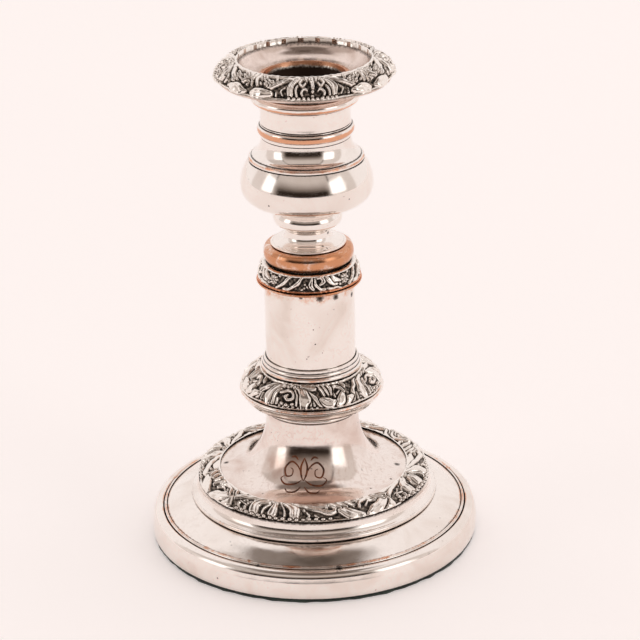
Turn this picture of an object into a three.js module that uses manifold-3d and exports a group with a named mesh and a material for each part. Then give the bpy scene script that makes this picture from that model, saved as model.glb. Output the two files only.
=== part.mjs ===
// A telescopic table candlestick in old Sheffield plate: silver rolled on copper, worn through on the edges.
// A round loaded base carries a trumpet pedestal, a knop and a plain column. Two draws slide up out of the
// column, the inner one carries the candle socket, and a loose nozzle lifts out of the socket.
// Millimetres, +Z up. The origin is the middle of the baize that the stick stands on.
import * as THREE from 'three';
import { mergeVertices } from 'three/addons/utils/BufferGeometryUtils.js';
import Module from 'manifold-3d';

// Overall sizes
const closedHeight = 178;
const baseRadius = 58.8;

// Gaps and walls
const seatGap = 0.3; // between two pieces that are soldered or seated on each other
const runGap = 0.15; // radial play of a draw in its bore
const sheet = 0.8; // rolled plate of the base and the column
const thinSheet = 0.6; // rolled plate of the socket, the nozzle and the draws

// Base
const baizeThickness = 1.2;
const boardThickness = 2;
const rimHeight = 9.7;
const rimWidth = 4.1;
const reedWidth = 0.9;
const flangeWidth = 9.3;
const flangeRise = 4.6;
const stepHeight = 6.4;
const stepLedge = 2.7; // how far the step's foot stands out past the wall under the border
const baseBorderWidth = 8.6;
const baseBorderRise = 4;
const wellDepth = 1.6; // floor of the well below the border's crest

// Pedestal and knop
const pedestalHeight = 22.9;
const astragalHeight = 1.7;
const astragalProud = 1.1;
const knopReach = 9.8; // from the column's surface to the knop's edge
const knopPanHeight = 5.5;
const knopRimHeight = 1.1;
const knopBorderHeight = 7.1;

// Column
const columnRadius = 15.9;
const shaftFoot = 24.4; // lower end of the outer tube, down in the pedestal
const baseRingHeight = 3.9;
const baseRingProud = 2;
const topRimHeight = 1.2;
const topBorderHeight = 6;
const topBorderProud = 2.6;
const neckRingHeight = 4;
const endCapThickness = 1;

// Draws
const collarWall = 0.65;
const collarLength = 20;
const slitCount = 8;
const slitWidth = 1.1;
const slitLength = 13;
const drawFootGap = 0.8; // each draw ends this far above what is below it
const drawRingHeight = 5.9;
const drawRingProud = 1.8; // past the middle tube's surface
const spigotLength = 4;
const drawSeat = 0.5; // the closed draw rests this far above the column's mouth

// Socket
const footHeight = 6.2;
const footProud = 0.95; // past the inner tube's surface
const stemRadius = 8;
const cupHeight = 6.9;
const cupRadius = 12.5;
const bowlHeight = 17.1;
const bowlRadius = 23;
const shoulderHeight = 7.9;
const shoulderInset = 3.1; // from the bowl's widest line to the shoulder's edge
const beadHeight = 4.6;
const beadProud = 1.2;
const socketNeckHeight = 6.6;
const rimLipHeight = 3.8;
const rimLipProud = 3.3;
const candleBore = 12.3;
const linerSpace = 2; // between the candle cup and the neck round it
const socketDepth = 37.5;

// Nozzle
const nozzleRadius = 31.4;
const sleevePlay = 0.3;
const sleeveLength = 14.5;
const funnelHeight = 5.7;
const funnelFlare = 2.5;
const dishDepth = 4;
const nozzleBorderWidth = 8.5;
const nozzleBorderDrop = 6.2;
const skirtThickness = 0.7;

// Cast borders
const lobeCount = 12;
const lobeDepth = 0.7;
const motifTurn = { base: -21, knop: -23, columnTop: 8, nozzle: 5 }; // degrees from the front, towards +X

// Facets round the axis
const wideSides = 36;
const slimSides = 28;
const borderSides = { base: 72, knop: 60, columnTop: 48, nozzle: 72 };

// Radii that follow from the sizes above
const grooveRadius = baseRadius - rimWidth;
const reedRadius = grooveRadius - seatGap - reedWidth;
const stepRadius = reedRadius - flangeWidth;
const stepWallRadius = stepRadius - stepLedge;
const baseBorderRadius = stepWallRadius + 1;
const wellRadius = baseBorderRadius - baseBorderWidth;
const plateWallRadius = stepWallRadius - sheet - seatGap;
const pedestalBore = columnRadius + 0.2;
const neckRadius = pedestalBore + 0.5;
const columnSeat = columnRadius + seatGap;
const knopRadius = columnRadius + knopReach;
const columnBore = columnRadius - sheet;
const middleCollarRadius = columnBore - runGap;
const middleTubeRadius = middleCollarRadius - collarWall - seatGap;
const middleBore = middleTubeRadius - thinSheet;
const innerCollarRadius = middleBore - runGap;
const innerTubeRadius = innerCollarRadius - collarWall - seatGap;
const innerBore = innerTubeRadius - thinSheet;
const footRadius = innerTubeRadius + footProud;
const linerRadius = candleBore + thinSheet;
const socketNeckRadius = linerRadius + linerSpace + thinSheet;
const shoulderRadius = bowlRadius - shoulderInset;
const rimLipRadius = socketNeckRadius + rimLipProud;
const sleeveRadius = candleBore - sleevePlay;
const sleeveBore = sleeveRadius - thinSheet;
const funnelRadius = sleeveRadius + funnelFlare;
const dishRadius = nozzleRadius - nozzleBorderWidth;
const brimRadius = nozzleRadius - skirtThickness - lobeDepth - seatGap;

// Heights above the table that follow from the sizes above
const boardFoot = baizeThickness + seatGap;
const boardTop = boardFoot + boardThickness;
const grooveLevel = boardFoot + rimHeight;
const stepLevel = grooveLevel + flangeRise;
const borderSeat = stepLevel + stepHeight;
const baseBorderTop = borderSeat + seatGap + baseBorderRise;
const wellFloor = baseBorderTop - wellDepth;
const pedestalTop = wellFloor + pedestalHeight;
const astragalFoot = pedestalTop + seatGap;
const knopPanFoot = astragalFoot + astragalHeight + seatGap;
const knopRimFoot = knopPanFoot + knopPanHeight + seatGap;
const knopBorderFoot = knopRimFoot + knopRimHeight + seatGap;
const baseRingFoot = knopBorderFoot + knopBorderHeight + seatGap;
const baseRingTop = baseRingFoot + baseRingHeight;
const socketStack = footHeight + cupHeight + bowlHeight + shoulderHeight + beadHeight + socketNeckHeight
  + rimLipHeight + 7 * seatGap;
const nozzleStack = funnelHeight + seatGap + nozzleBorderDrop;
const drawRingTop = closedHeight - nozzleStack - socketStack;
const drawRingFoot = drawRingTop - drawRingHeight;
const topBorderTop = drawRingFoot - drawSeat;
const topBorderFoot = topBorderTop - topBorderHeight;
const topRimTop = topBorderFoot - seatGap;
const topRimFoot = topRimTop - topRimHeight;
const shaftTop = topBorderTop - sheet - 2 * seatGap;
const neckRingFoot = shaftTop - neckRingHeight;
const middleFoot = shaftFoot + endCapThickness + drawFootGap;
const innerFoot = middleFoot + drawFootGap;
const footLevel = drawRingTop + seatGap;
const stemLevel = footLevel + footHeight;
const cupFoot = stemLevel + seatGap;
const bowlFoot = cupFoot + cupHeight + seatGap;
const bowlTop = bowlFoot + bowlHeight;
const shoulderFoot = bowlTop + seatGap;
const shoulderTop = shoulderFoot + shoulderHeight;
const beadFoot = shoulderTop + seatGap;
const beadTop = beadFoot + beadHeight;
const socketNeckFoot = beadTop + seatGap;
const socketNeckTop = socketNeckFoot + socketNeckHeight;
const rimLipFoot = socketNeckTop + seatGap;
const socketMouth = rimLipFoot + rimLipHeight;
const socketFloor = socketMouth - socketDepth;
const sleeveFoot = socketMouth - sleeveLength;
const funnelFoot = socketMouth + seatGap;
const funnelTop = funnelFoot + funnelHeight;
const dishFloor = funnelTop + seatGap;
const dishEdge = dishFloor + dishDepth;
const nozzleEdge = closedHeight - nozzleBorderDrop - seatGap;

const wasm = await Module();
wasm.setup();

const finishes = {
  silver: { color: 0xd8d2cc, roughness: 0.16, metalness: 1 },
  castSilver: { color: 0xa9a29b, roughness: 0.34, metalness: 1 },
  copper: { color: 0xc9835f, roughness: 0.24, metalness: 1 },
  brass: { color: 0xb99a5b, roughness: 0.35, metalness: 1 },
  baize: { color: 0x24352c, roughness: 1, metalness: 0 },
  board: { color: 0x9a7a52, roughness: 0.8, metalness: 0 },
  pitch: { color: 0x1c1714, roughness: 0.6, metalness: 0 },
};

/** A solid of revolution about Z from an outline of [radius, height] points, in either direction. */
function turned(outline, sides) {
  const points = outline.map(([radius, height]) => new THREE.Vector2(radius, height));
  if (THREE.ShapeUtils.area(points) < 0) points.reverse();
  if (points[0].x > 0) points.push(points[0].clone());
  const geometry = new THREE.LatheGeometry(points, sides);
  geometry.rotateX(Math.PI / 2);
  return geometry;
}

/** Draws the outer edge of a ring in between its lobes; the crests keep the full radius. */
function lobed(geometry, innerRadius, outerRadius, turn) {
  const position = geometry.attributes.position;
  const front = THREE.MathUtils.degToRad(turn - 90);
  for (let i = 0; i < position.count; i += 1) {
    const x = position.getX(i);
    const y = position.getY(i);
    const radius = Math.hypot(x, y);
    const share = THREE.MathUtils.clamp((radius - innerRadius) / (outerRadius - innerRadius), 0, 1);
    const wave = (1 - Math.cos(lobeCount * (Math.atan2(y, x) - front))) / 2;
    const scale = 1 - (lobeDepth * share * wave) / radius;
    position.setXY(i, x * scale, y * scale);
  }
  return geometry;
}

/** Points on a quarter-like sweep from one [radius, height] to another, hollow or full by its bulge. */
function sweep([r0, z0], [r1, z1], [rc, zc], steps) {
  const curve = new THREE.QuadraticBezierCurve(
    new THREE.Vector2(r0, z0),
    new THREE.Vector2(rc, zc),
    new THREE.Vector2(r1, z1),
  );
  return curve.getPoints(steps).map((point) => [point.x, point.y]);
}

/** A three.js geometry as a solid that can be cut. */
function solidOf(geometry) {
  const bare = geometry.clone();
  bare.deleteAttribute('normal');
  bare.deleteAttribute('uv');
  const merged = mergeVertices(bare, 1e-4);
  const index = merged.index.array;
  const corners = [];
  for (let i = 0; i < index.length; i += 3) {
    const [a, b, c] = [index[i], index[i + 1], index[i + 2]];
    if (a !== b && b !== c && c !== a) corners.push(a, b, c);
  }
  return new wasm.Manifold(new wasm.Mesh({
    numProp: 3,
    vertProperties: merged.attributes.position.array,
    triVerts: Uint32Array.from(corners),
  }));
}

/** A cut solid back as a three.js geometry. */
function geometryOf(solid) {
  const mesh = solid.getMesh();
  const geometry = new THREE.BufferGeometry();
  geometry.setAttribute('position', new THREE.BufferAttribute(mesh.vertProperties, 3));
  geometry.setIndex(new THREE.BufferAttribute(mesh.triVerts, 1));
  geometry.computeVertexNormals();
  return geometry;
}

/** A plain tube or ring between two radii. */
function ring(innerRadius, outerRadius, foot, top, sides = slimSides) {
  return turned([[innerRadius, foot], [outerRadius, foot], [outerRadius, top], [innerRadius, top]], sides);
}

/** A plain disc on the axis. */
function disc(radius, foot, top, sides = slimSides) {
  return turned([[0, foot], [radius, foot], [radius, top], [0, top]], sides);
}

/** A sprung collar: a ring whose lower part is slit into fingers. */
function springCollar(outerRadius, foot) {
  let solid = solidOf(ring(outerRadius - collarWall, outerRadius, foot, foot + collarLength));
  for (let i = 0; i < slitCount / 2; i += 1) {
    const blade = new THREE.BoxGeometry(2 * outerRadius + 2, slitWidth, 2 * slitLength);
    blade.rotateZ(((i + 0.5) * 2 * Math.PI) / slitCount);
    blade.translate(0, 0, foot);
    solid = solid.subtract(solidOf(blade));
  }
  return geometryOf(solid);
}

/** The stamped lowest moulding of the base, with a rolled shoulder up to the groove. */
function baseRim() {
  const inner = baseRadius - sheet;
  return turned([
    [baseRadius - 0.6, boardFoot],
    [baseRadius, boardFoot + 1.4],
    [baseRadius - 0.1, boardFoot + 5.2],
    ...sweep([baseRadius - 0.6, grooveLevel - 2.6], [grooveRadius, grooveLevel],
      [baseRadius - 1, grooveLevel - 0.4], 3),
    [grooveRadius, grooveLevel - sheet],
    [baseRadius - 2.3, grooveLevel - 1.6],
    [inner - 0.2, boardFoot + 5.2],
    [inner - 0.6, boardFoot],
  ], wideSides);
}

/** The drawn wire that fills the groove's inner side. */
function baseReed() {
  return turned([
    [reedRadius, grooveLevel - 0.6],
    [reedRadius + reedWidth, grooveLevel - 0.6],
    [reedRadius + reedWidth, grooveLevel + 0.3],
    [reedRadius + reedWidth / 2, grooveLevel + 0.7],
    [reedRadius, grooveLevel + 0.4],
  ], wideSides);
}

/** The stamped plate: a full flange, the wall inside the step and the ledge that carries the pedestal. */
function basePlate() {
  const ledge = wellFloor - thinSheet - seatGap;
  const outer = reedRadius - seatGap;
  const wall = plateWallRadius;
  return turned([
    ...sweep([outer, grooveLevel + 0.5], [stepRadius - 1, stepLevel - 0.1],
      [(outer + stepRadius) / 2, stepLevel - 0.9], 3),
    [wall, stepLevel],
    [wall, borderSeat - 0.2],
    [wall - 1.8, ledge],
    [wellRadius + 0.6, ledge],
    [wellRadius + 0.6, ledge - sheet],
    [wall - sheet - 1.4, ledge - sheet],
    [wall - sheet, borderSeat - 0.6],
    [wall - sheet, stepLevel - sheet],
    [stepRadius - 1, stepLevel - sheet - 0.1],
    [outer, grooveLevel - 0.3],
  ], wideSides);
}

/** The moulded ring that stands on the flange and carries the border. */
function baseStep() {
  const inner = stepWallRadius - sheet;
  return turned([
    [inner, stepLevel + seatGap],
    [stepRadius, stepLevel + seatGap],
    [stepRadius, stepLevel + 1.1],
    ...sweep([stepRadius - 0.6, stepLevel + 1.6], [stepWallRadius, stepLevel + 4.4],
      [stepWallRadius + 0.3, stepLevel + 2], 3),
    [stepWallRadius, borderSeat],
    [inner, borderSeat],
  ], wideSides);
}

/** The foliate border round the well. */
function baseBorder() {
  const foot = borderSeat + seatGap;
  const crest = baseBorderTop;
  return lobed(turned([
    [wellRadius + 0.2, wellFloor + seatGap + 0.2],
    [plateWallRadius - 2.1, wellFloor + seatGap],
    [plateWallRadius + 0.4, foot],
    [baseBorderRadius - 0.3, foot - 0.1],
    [baseBorderRadius, foot + 0.4],
    [baseBorderRadius - 0.6, foot + 1.1],
    [baseBorderRadius - 3, foot + 2.8],
    [baseBorderRadius - 5.8, crest - 0.1],
    [wellRadius + 0.9, crest],
    [wellRadius, crest - 0.6],
  ], borderSides.base), wellRadius, baseBorderRadius, motifTurn.base);
}

/** The trumpet and the well floor, raised from one sheet. */
function pedestal() {
  const edge = wellRadius + 1.8;
  const flare = wellRadius - neckRadius;
  const waist = pedestalTop - 6.4;
  return turned([
    ...sweep([neckRadius, waist], [neckRadius + 0.32 * flare, wellFloor + 5.4],
      [neckRadius + 0.2, wellFloor + 9.4], 3),
    [neckRadius + 0.58 * flare, wellFloor + 2.6],
    [neckRadius + 0.83 * flare, wellFloor + 0.9],
    [wellRadius, wellFloor],
    [edge, wellFloor],
    [edge, wellFloor - thinSheet],
    [neckRadius + 0.8 * flare, wellFloor + 0.2],
    [neckRadius + 0.3 * flare, wellFloor + 4.6],
    [pedestalBore + 0.5, wellFloor + 11],
    [pedestalBore, waist],
    [pedestalBore, pedestalTop],
    [neckRadius, pedestalTop],
  ], wideSides);
}

/** A half-round wire soldered round a tube. */
function beadWire(seat, proud, foot, height) {
  const outer = seat + proud;
  return [
    [seat, foot],
    [outer - 0.3 * proud, foot],
    [outer, foot + 0.3 * height],
    [outer, foot + 0.7 * height],
    [outer - 0.3 * proud, foot + height],
    [seat, foot + height],
  ];
}

/** The wire under the knop. */
function pedestalAstragal() {
  return turned(beadWire(columnSeat, astragalProud, astragalFoot, astragalHeight), slimSides);
}

/** The dished underside of the knop. */
function knopPan() {
  const top = knopPanFoot + knopPanHeight;
  return turned([
    [columnSeat, knopPanFoot],
    [columnSeat + 1.3, knopPanFoot],
    [columnSeat + 4, knopPanFoot + 2.2],
    [knopRadius - 0.9, top - 0.6],
    [knopRadius - 0.6, top],
    [knopRadius - 1.6, top],
    [columnSeat + 3, knopPanFoot + 2.3],
    [columnSeat, knopPanFoot + sheet],
  ], slimSides);
}

/** The plain wire round the knop's edge. */
function knopRim() {
  const inner = knopRadius - 1.4;
  return turned([
    [inner, knopRimFoot],
    [knopRadius - 0.3, knopRimFoot],
    [knopRadius, knopRimFoot + 0.5 * knopRimHeight],
    [knopRadius - 0.3, knopRimFoot + knopRimHeight],
    [inner, knopRimFoot + knopRimHeight],
  ], slimSides);
}

/** The foliate border on top of the knop. */
function knopBorder() {
  const foot = knopBorderFoot;
  const top = foot + knopBorderHeight;
  const ledge = columnSeat + 1.9;
  return lobed(turned([
    [knopRadius - 1.3, foot],
    [knopRadius, foot + 0.1],
    [knopRadius - 0.3, foot + 1.2],
    [knopRadius - 2.6, foot + 4.2],
    [ledge + 2, top - 0.9],
    [ledge, top],
    [columnSeat, top],
    [columnSeat, top - sheet],
    [ledge, top - 1.2],
    [knopRadius - 3.8, foot + 3.2],
  ], borderSides.knop), ledge, knopRadius, motifTurn.knop);
}

/** The stepped ring at the foot of the column. */
function columnBaseRing() {
  const outer = columnRadius + baseRingProud;
  return turned([
    [columnSeat, baseRingFoot],
    [outer, baseRingFoot],
    [outer, baseRingFoot + 1],
    [outer - 0.7, baseRingFoot + 1.5],
    [outer - 0.7, baseRingFoot + 2.4],
    [columnSeat + 0.6, baseRingFoot + 3],
    [columnSeat + 0.5, baseRingTop],
    [columnSeat, baseRingTop],
  ], slimSides);
}

/** The worn wire under the column's top border. */
function columnTopRim() {
  const outer = columnRadius + topBorderProud;
  return turned([
    [columnSeat, topRimFoot],
    [outer - 0.8, topRimFoot],
    [outer, topRimFoot + 0.5],
    [outer, topRimTop],
    [columnSeat, topRimTop],
  ], slimSides);
}

/** The foliate border that caps the column and turns in over its mouth. */
function columnTopBorder() {
  const outer = columnRadius + topBorderProud;
  const foot = topBorderFoot;
  const top = topBorderTop;
  const mouth = middleTubeRadius + 1;
  return lobed(turned([
    [columnSeat, foot],
    [outer, foot],
    [outer, foot + 0.7],
    [outer - 0.9, foot + 2.5],
    [outer - 1.6, foot + 4.3],
    [columnRadius, top - 0.3],
    [mouth, top],
    [mouth, top - sheet],
    [columnSeat, top - sheet - 0.2],
  ], borderSides.columnTop), columnSeat, outer, motifTurn.columnTop);
}

/** The worn bead at the top of the middle draw, with the spigot that it is soldered in by. */
function middleRing() {
  const bore = innerTubeRadius + runGap;
  const outer = middleTubeRadius + drawRingProud;
  const spigot = middleBore - seatGap;
  const half = drawRingHeight / 2;
  return turned([
    [bore, drawRingFoot - spigotLength],
    [spigot, drawRingFoot - spigotLength],
    [spigot, drawRingFoot],
    [outer - 1.5, drawRingFoot],
    [outer - 0.4, drawRingFoot + 0.4 * half],
    [outer, drawRingFoot + half],
    [outer - 0.4, drawRingFoot + 1.6 * half],
    [outer - 1.5, drawRingTop],
    [bore, drawRingTop],
  ], slimSides);
}

/** The spread foot of the socket, with the spigot that closes the inner tube. */
function socketFoot() {
  const spigot = innerBore - seatGap;
  return turned([
    [spigot - 1, footLevel - spigotLength],
    [spigot, footLevel - spigotLength],
    [spigot, footLevel],
    [footRadius, footLevel],
    [footRadius, footLevel + 0.4],
    ...sweep([footRadius - 1.8, footLevel + 1.5], [stemRadius, stemLevel],
      [stemRadius + 0.8, footLevel + 2.1], 2),
    [0, stemLevel],
    [0, stemLevel - sheet],
    [stemRadius - 1, stemLevel - sheet],
    [stemRadius - 0.6, footLevel + 1.9],
    [spigot - 1, footLevel + 0.2],
  ], slimSides);
}

/** The cup that carries the bowl. */
function socketCup() {
  const top = cupFoot + cupHeight;
  return turned([
    [0, cupFoot],
    [stemRadius, cupFoot],
    ...sweep([stemRadius + 0.4, cupFoot + 1.6], [cupRadius - 0.3, top - 0.8],
      [stemRadius + 0.9, cupFoot + 4.4], 3),
    [cupRadius, top],
    [cupRadius - sheet, top],
    [stemRadius, cupFoot + 2.4],
    [0, cupFoot + sheet],
  ], slimSides);
}

/** The bowl of the socket. */
function socketBowl() {
  const widest = bowlFoot + 0.54 * bowlHeight;
  const inner = bowlRadius - sheet;
  return turned([
    [0, bowlFoot],
    [cupRadius + 0.1, bowlFoot],
    ...sweep([cupRadius + 3.6, bowlFoot + 0.9], [bowlRadius, widest], [bowlRadius - 0.4, bowlFoot + 3.9], 4),
    ...sweep([bowlRadius - 0.1, widest + 1.4], [shoulderRadius + 0.3, bowlTop],
      [bowlRadius - 0.1, widest + 4.2], 2),
    [shoulderRadius - 0.5, bowlTop],
    [inner - 0.4, widest + 2.6],
    [inner - 0.4, widest - 3],
    [cupRadius + 3.6, bowlFoot + 2],
    [cupRadius - 1, bowlFoot + sheet],
    [0, bowlFoot + sheet],
  ], slimSides);
}

/** The hollow shoulder between the bowl and the bead. */
function socketShoulder() {
  const outer = sweep([shoulderRadius, shoulderFoot + 0.4], [socketNeckRadius, shoulderTop],
    [socketNeckRadius + 0.6, shoulderFoot + 2.6], 4);
  return turned([
    [shoulderRadius - sheet, shoulderFoot],
    [shoulderRadius, shoulderFoot],
    ...outer,
    [socketNeckRadius - thinSheet, shoulderTop],
    [socketNeckRadius + 0.5, shoulderFoot + 3],
  ], slimSides);
}

/** The bead round the socket's neck. */
function socketBead() {
  return turned(beadWire(socketNeckRadius - thinSheet, beadProud + thinSheet, beadFoot, beadHeight), slimSides);
}

/** The neck of the socket, a little hollow. */
function socketNeck() {
  return turned([
    [socketNeckRadius - thinSheet, socketNeckFoot],
    [socketNeckRadius + 0.2, socketNeckFoot],
    [socketNeckRadius, socketNeckFoot + 3],
    [socketNeckRadius + 0.1, socketNeckTop - 1.4],
    [socketNeckRadius + 0.7, socketNeckTop],
    [socketNeckRadius - thinSheet, socketNeckTop],
  ], slimSides);
}

/** The lip of the socket. */
function socketRim() {
  const seat = linerRadius + seatGap;
  return turned([
    [socketNeckRadius + 0.2, rimLipFoot],
    [socketNeckRadius + 1.2, rimLipFoot],
    [rimLipRadius - 0.2, rimLipFoot + 1],
    [rimLipRadius, rimLipFoot + 1.6],
    [rimLipRadius - 0.2, rimLipFoot + 2.8],
    [rimLipRadius - 1.1, socketMouth],
    [seat, socketMouth],
    [seat, socketMouth - sheet],
    [socketNeckRadius + 0.6, socketMouth - sheet],
  ], slimSides);
}

/** The cup inside the socket that holds the candle or the nozzle. */
function candleCup() {
  return turned([
    [0, socketFloor - thinSheet],
    [linerRadius, socketFloor - thinSheet],
    [linerRadius, socketMouth],
    [candleBore, socketMouth],
    [candleBore, socketFloor],
    [0, socketFloor],
  ], slimSides);
}

/** The sleeve of the nozzle, which drops into the candle cup, and its funnel mouth. */
function nozzleSleeve() {
  const shoulder = linerRadius + 0.5;
  return turned([
    [sleeveBore, sleeveFoot],
    [sleeveRadius, sleeveFoot],
    [sleeveRadius, funnelFoot],
    [shoulder, funnelFoot],
    [funnelRadius - 0.4, funnelFoot + 2.4],
    [funnelRadius, funnelTop - 0.1],
    [funnelRadius - thinSheet, funnelTop],
    [funnelRadius - 1.1, funnelFoot + 2.8],
    [sleeveBore + 0.9, funnelFoot + 0.9],
    [sleeveBore, funnelFoot],
  ], slimSides);
}

/** The drip dish of the nozzle, with the brim that the border is soldered to. */
function nozzlePan() {
  const lip = funnelRadius - thinSheet;
  const width = dishRadius - lip;
  const brimDrop = brimRadius - dishRadius;
  return turned([
    [lip, dishFloor + 0.4],
    [lip + 0.35 * width, dishFloor + 0.8],
    [lip + 0.7 * width, dishFloor + 2.3],
    [dishRadius - 0.3, dishEdge - 0.2],
    [dishRadius + 0.9, dishEdge - 0.6],
    [brimRadius, dishEdge - 0.6 - 0.6 * brimDrop],
    [brimRadius - 0.4, dishEdge - 1.2 - 0.6 * brimDrop],
    [dishRadius, dishEdge - 1.2],
    [lip + 0.75 * width, dishFloor + 1.6],
    [lip + 0.1, dishFloor],
  ], wideSides);
}

/** The foliate border of the nozzle. */
function nozzleBorder() {
  const skirt = nozzleRadius - skirtThickness;
  return lobed(turned([
    [dishRadius - 0.1, dishEdge + 0.2],
    [dishRadius + 1, dishEdge - 0.1],
    [skirt, dishEdge - 0.1 - 0.6 * (skirt - dishRadius - 1)],
    [skirt + 0.1, nozzleEdge - 0.2],
    [nozzleRadius, nozzleEdge],
    [nozzleRadius - 0.1, nozzleEdge + 1.2],
    [nozzleRadius - 1.6, nozzleEdge + 3.5],
    [nozzleRadius - 4.1, nozzleEdge + 5.4],
    [dishRadius + 2.1, closedHeight],
    [dishRadius + 0.5, closedHeight - 0.5],
  ], borderSides.nozzle), dishRadius, nozzleRadius, motifTurn.nozzle);
}

/** The resin that loads the base, cast against the inside of its shells. */
function pitchLoading() {
  const foot = boardTop + seatGap;
  const inside = plateWallRadius - sheet - seatGap;
  const top = shaftFoot - 2 * seatGap;
  return turned([
    [0, foot],
    [baseRadius - sheet - 0.9, foot],
    [baseRadius - sheet - 1, boardFoot + 5.2],
    [grooveRadius - 0.4, grooveLevel - sheet - 0.5],
    [reedRadius - seatGap, grooveLevel - 0.8],
    [stepRadius - 1, stepLevel - sheet - 0.6],
    [inside, stepLevel - sheet - 0.3],
    [inside, borderSeat - 0.9],
    [wellRadius + 0.2, borderSeat - 0.9],
    [wellRadius + 0.2, top],
    [0, top],
  ], wideSides);
}

const candlestick = new THREE.Group();

/** Adds one named piece with a material of its own. */
function add(name, geometry, finish) {
  const mesh = new THREE.Mesh(geometry, new THREE.MeshStandardMaterial(finishes[finish]));
  mesh.name = name;
  candlestick.add(mesh);
}

add('baize_cover', disc(baseRadius - 0.6, 0, baizeThickness, wideSides), 'baize');
add('base_board', disc(baseRadius - sheet - 1, boardFoot, boardTop, wideSides), 'board');
add('pitch_loading', pitchLoading(), 'pitch');
add('base_rim', baseRim(), 'silver');
add('base_reed', baseReed(), 'copper');
add('base_plate', basePlate(), 'silver');
add('base_step', baseStep(), 'silver');
add('base_border', baseBorder(), 'castSilver');
add('pedestal', pedestal(), 'silver');
add('pedestal_astragal', pedestalAstragal(), 'silver');
add('knop_pan', knopPan(), 'silver');
add('knop_rim', knopRim(), 'copper');
add('knop_border', knopBorder(), 'castSilver');
add('column_base_ring', columnBaseRing(), 'silver');
add('column_tube', ring(columnBore, columnRadius, shaftFoot, shaftTop), 'silver');
add('column_end_cap', disc(columnBore - seatGap, shaftFoot, shaftFoot + endCapThickness), 'copper');
add('column_neck_ring', ring(middleTubeRadius + runGap, columnBore - seatGap, neckRingFoot, shaftTop), 'copper');
add('column_top_rim', columnTopRim(), 'copper');
add('column_top_border', columnTopBorder(), 'castSilver');

add('middle_tube', ring(middleBore, middleTubeRadius, middleFoot, drawRingFoot - seatGap), 'silver');
add('middle_spring_collar', springCollar(middleCollarRadius, middleFoot), 'brass');
add('middle_ring', middleRing(), 'copper');

add('inner_tube', ring(innerBore, innerTubeRadius, innerFoot, footLevel - seatGap), 'silver');
add('inner_spring_collar', springCollar(innerCollarRadius, innerFoot), 'brass');
add('socket_foot', socketFoot(), 'silver');
add('socket_cup', socketCup(), 'silver');
add('socket_bowl', socketBowl(), 'silver');
add('socket_shoulder', socketShoulder(), 'silver');
add('socket_bead', socketBead(), 'copper');
add('socket_neck', socketNeck(), 'silver');
add('socket_rim', socketRim(), 'silver');
add('candle_cup', candleCup(), 'silver');

add('nozzle_sleeve', nozzleSleeve(), 'silver');
add('nozzle_pan', nozzlePan(), 'silver');
add('nozzle_border', nozzleBorder(), 'castSilver');

export default candlestick;
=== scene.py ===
"""A telescopic table candlestick in old Sheffield plate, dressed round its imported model.

Turned and stamped plate, cast foliate borders, worn copper edges and two sliding draws, on a base with baize.
Sizes are in millimetres until a mesh is made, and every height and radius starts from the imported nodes.
"""

import logging
import math
from dataclasses import dataclass
from enum import Enum
from functools import partial
from typing import Callable

import bpy
import numpy as np
from mathutils import Matrix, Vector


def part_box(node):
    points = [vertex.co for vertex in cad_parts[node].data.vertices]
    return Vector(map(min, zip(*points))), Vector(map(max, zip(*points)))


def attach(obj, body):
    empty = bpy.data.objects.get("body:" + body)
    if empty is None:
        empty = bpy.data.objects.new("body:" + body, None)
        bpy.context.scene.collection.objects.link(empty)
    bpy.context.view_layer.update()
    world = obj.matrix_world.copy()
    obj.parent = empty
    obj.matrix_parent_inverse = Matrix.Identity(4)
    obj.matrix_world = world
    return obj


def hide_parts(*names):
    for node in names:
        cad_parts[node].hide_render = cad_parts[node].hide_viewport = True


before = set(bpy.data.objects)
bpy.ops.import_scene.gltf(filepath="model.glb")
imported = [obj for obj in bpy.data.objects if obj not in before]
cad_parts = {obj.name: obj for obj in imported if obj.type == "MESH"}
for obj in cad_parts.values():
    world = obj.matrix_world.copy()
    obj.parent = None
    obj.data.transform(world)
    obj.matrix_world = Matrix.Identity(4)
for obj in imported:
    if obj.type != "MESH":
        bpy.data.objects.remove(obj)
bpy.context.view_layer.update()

MM = 0.001  # metres in a millimetre
MERGED = 2e-6  # points nearer to each other than this, in metres, become one
JOINT = 0.3  # between pieces that are soldered or seated on each other
PLAY = 0.15  # radial play of a draw in its bore
SWING_RADIUS = 60.0  # radius of the circle that an outline is swung on
SECTORS = 4  # a cast border repeats this many times in a turn

MATH = "ShaderNodeMath"
RAMP = "ShaderNodeMapRange"
MIX = "ShaderNodeMix"
NOISE = "ShaderNodeTexNoise"
VECTOR_MATH = "ShaderNodeVectorMath"
ATTRIBUTE = "ShaderNodeAttribute"
SMOOTH = {"interpolation_type": "SMOOTHSTEP"}

Point = tuple[float, float]
Spot = tuple[float, float, float, float]
Socket = bpy.types.NodeSocket
logger = logging.getLogger("candlestick")


class Slot(Enum):
    """Names of the material slots."""

    SILVER = "silver_plate"
    CAST = "cast_silver"
    COPPER = "worn_copper"
    BRASS = "spring_brass"
    BAIZE = "green_baize"
    BOARD = "board"
    PITCH = "pitch"


class Body(Enum):
    """The bodies that the draws and the nozzle make."""

    BASE = "base"
    MIDDLE = "middle_draw"
    SOCKET = "socket_draw"
    NOZZLE = "nozzle"


# ---------------------------------------------------------------- materials


def linear(code: str) -> tuple[float, float, float, float]:
    """Turns an sRGB hex colour into linear RGBA.

    Args:
        code: Six hex digits, such as "d8d2cc".

    Returns:
        The colour as four linear values.
    """
    values = [int(code[i:i + 2], 16) / 255 for i in (0, 2, 4)]
    red, green, blue = (v / 12.92 if v <= 0.04045 else ((v + 0.055) / 1.055) ** 2.4 for v in values)
    return (red, green, blue, 1.0)


def glowing(code: str, strength: float) -> tuple[float, float, float, float]:
    """A hex colour as light of a strength."""
    return (*(strength * value for value in linear(code)[:3]), 1.0)


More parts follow.
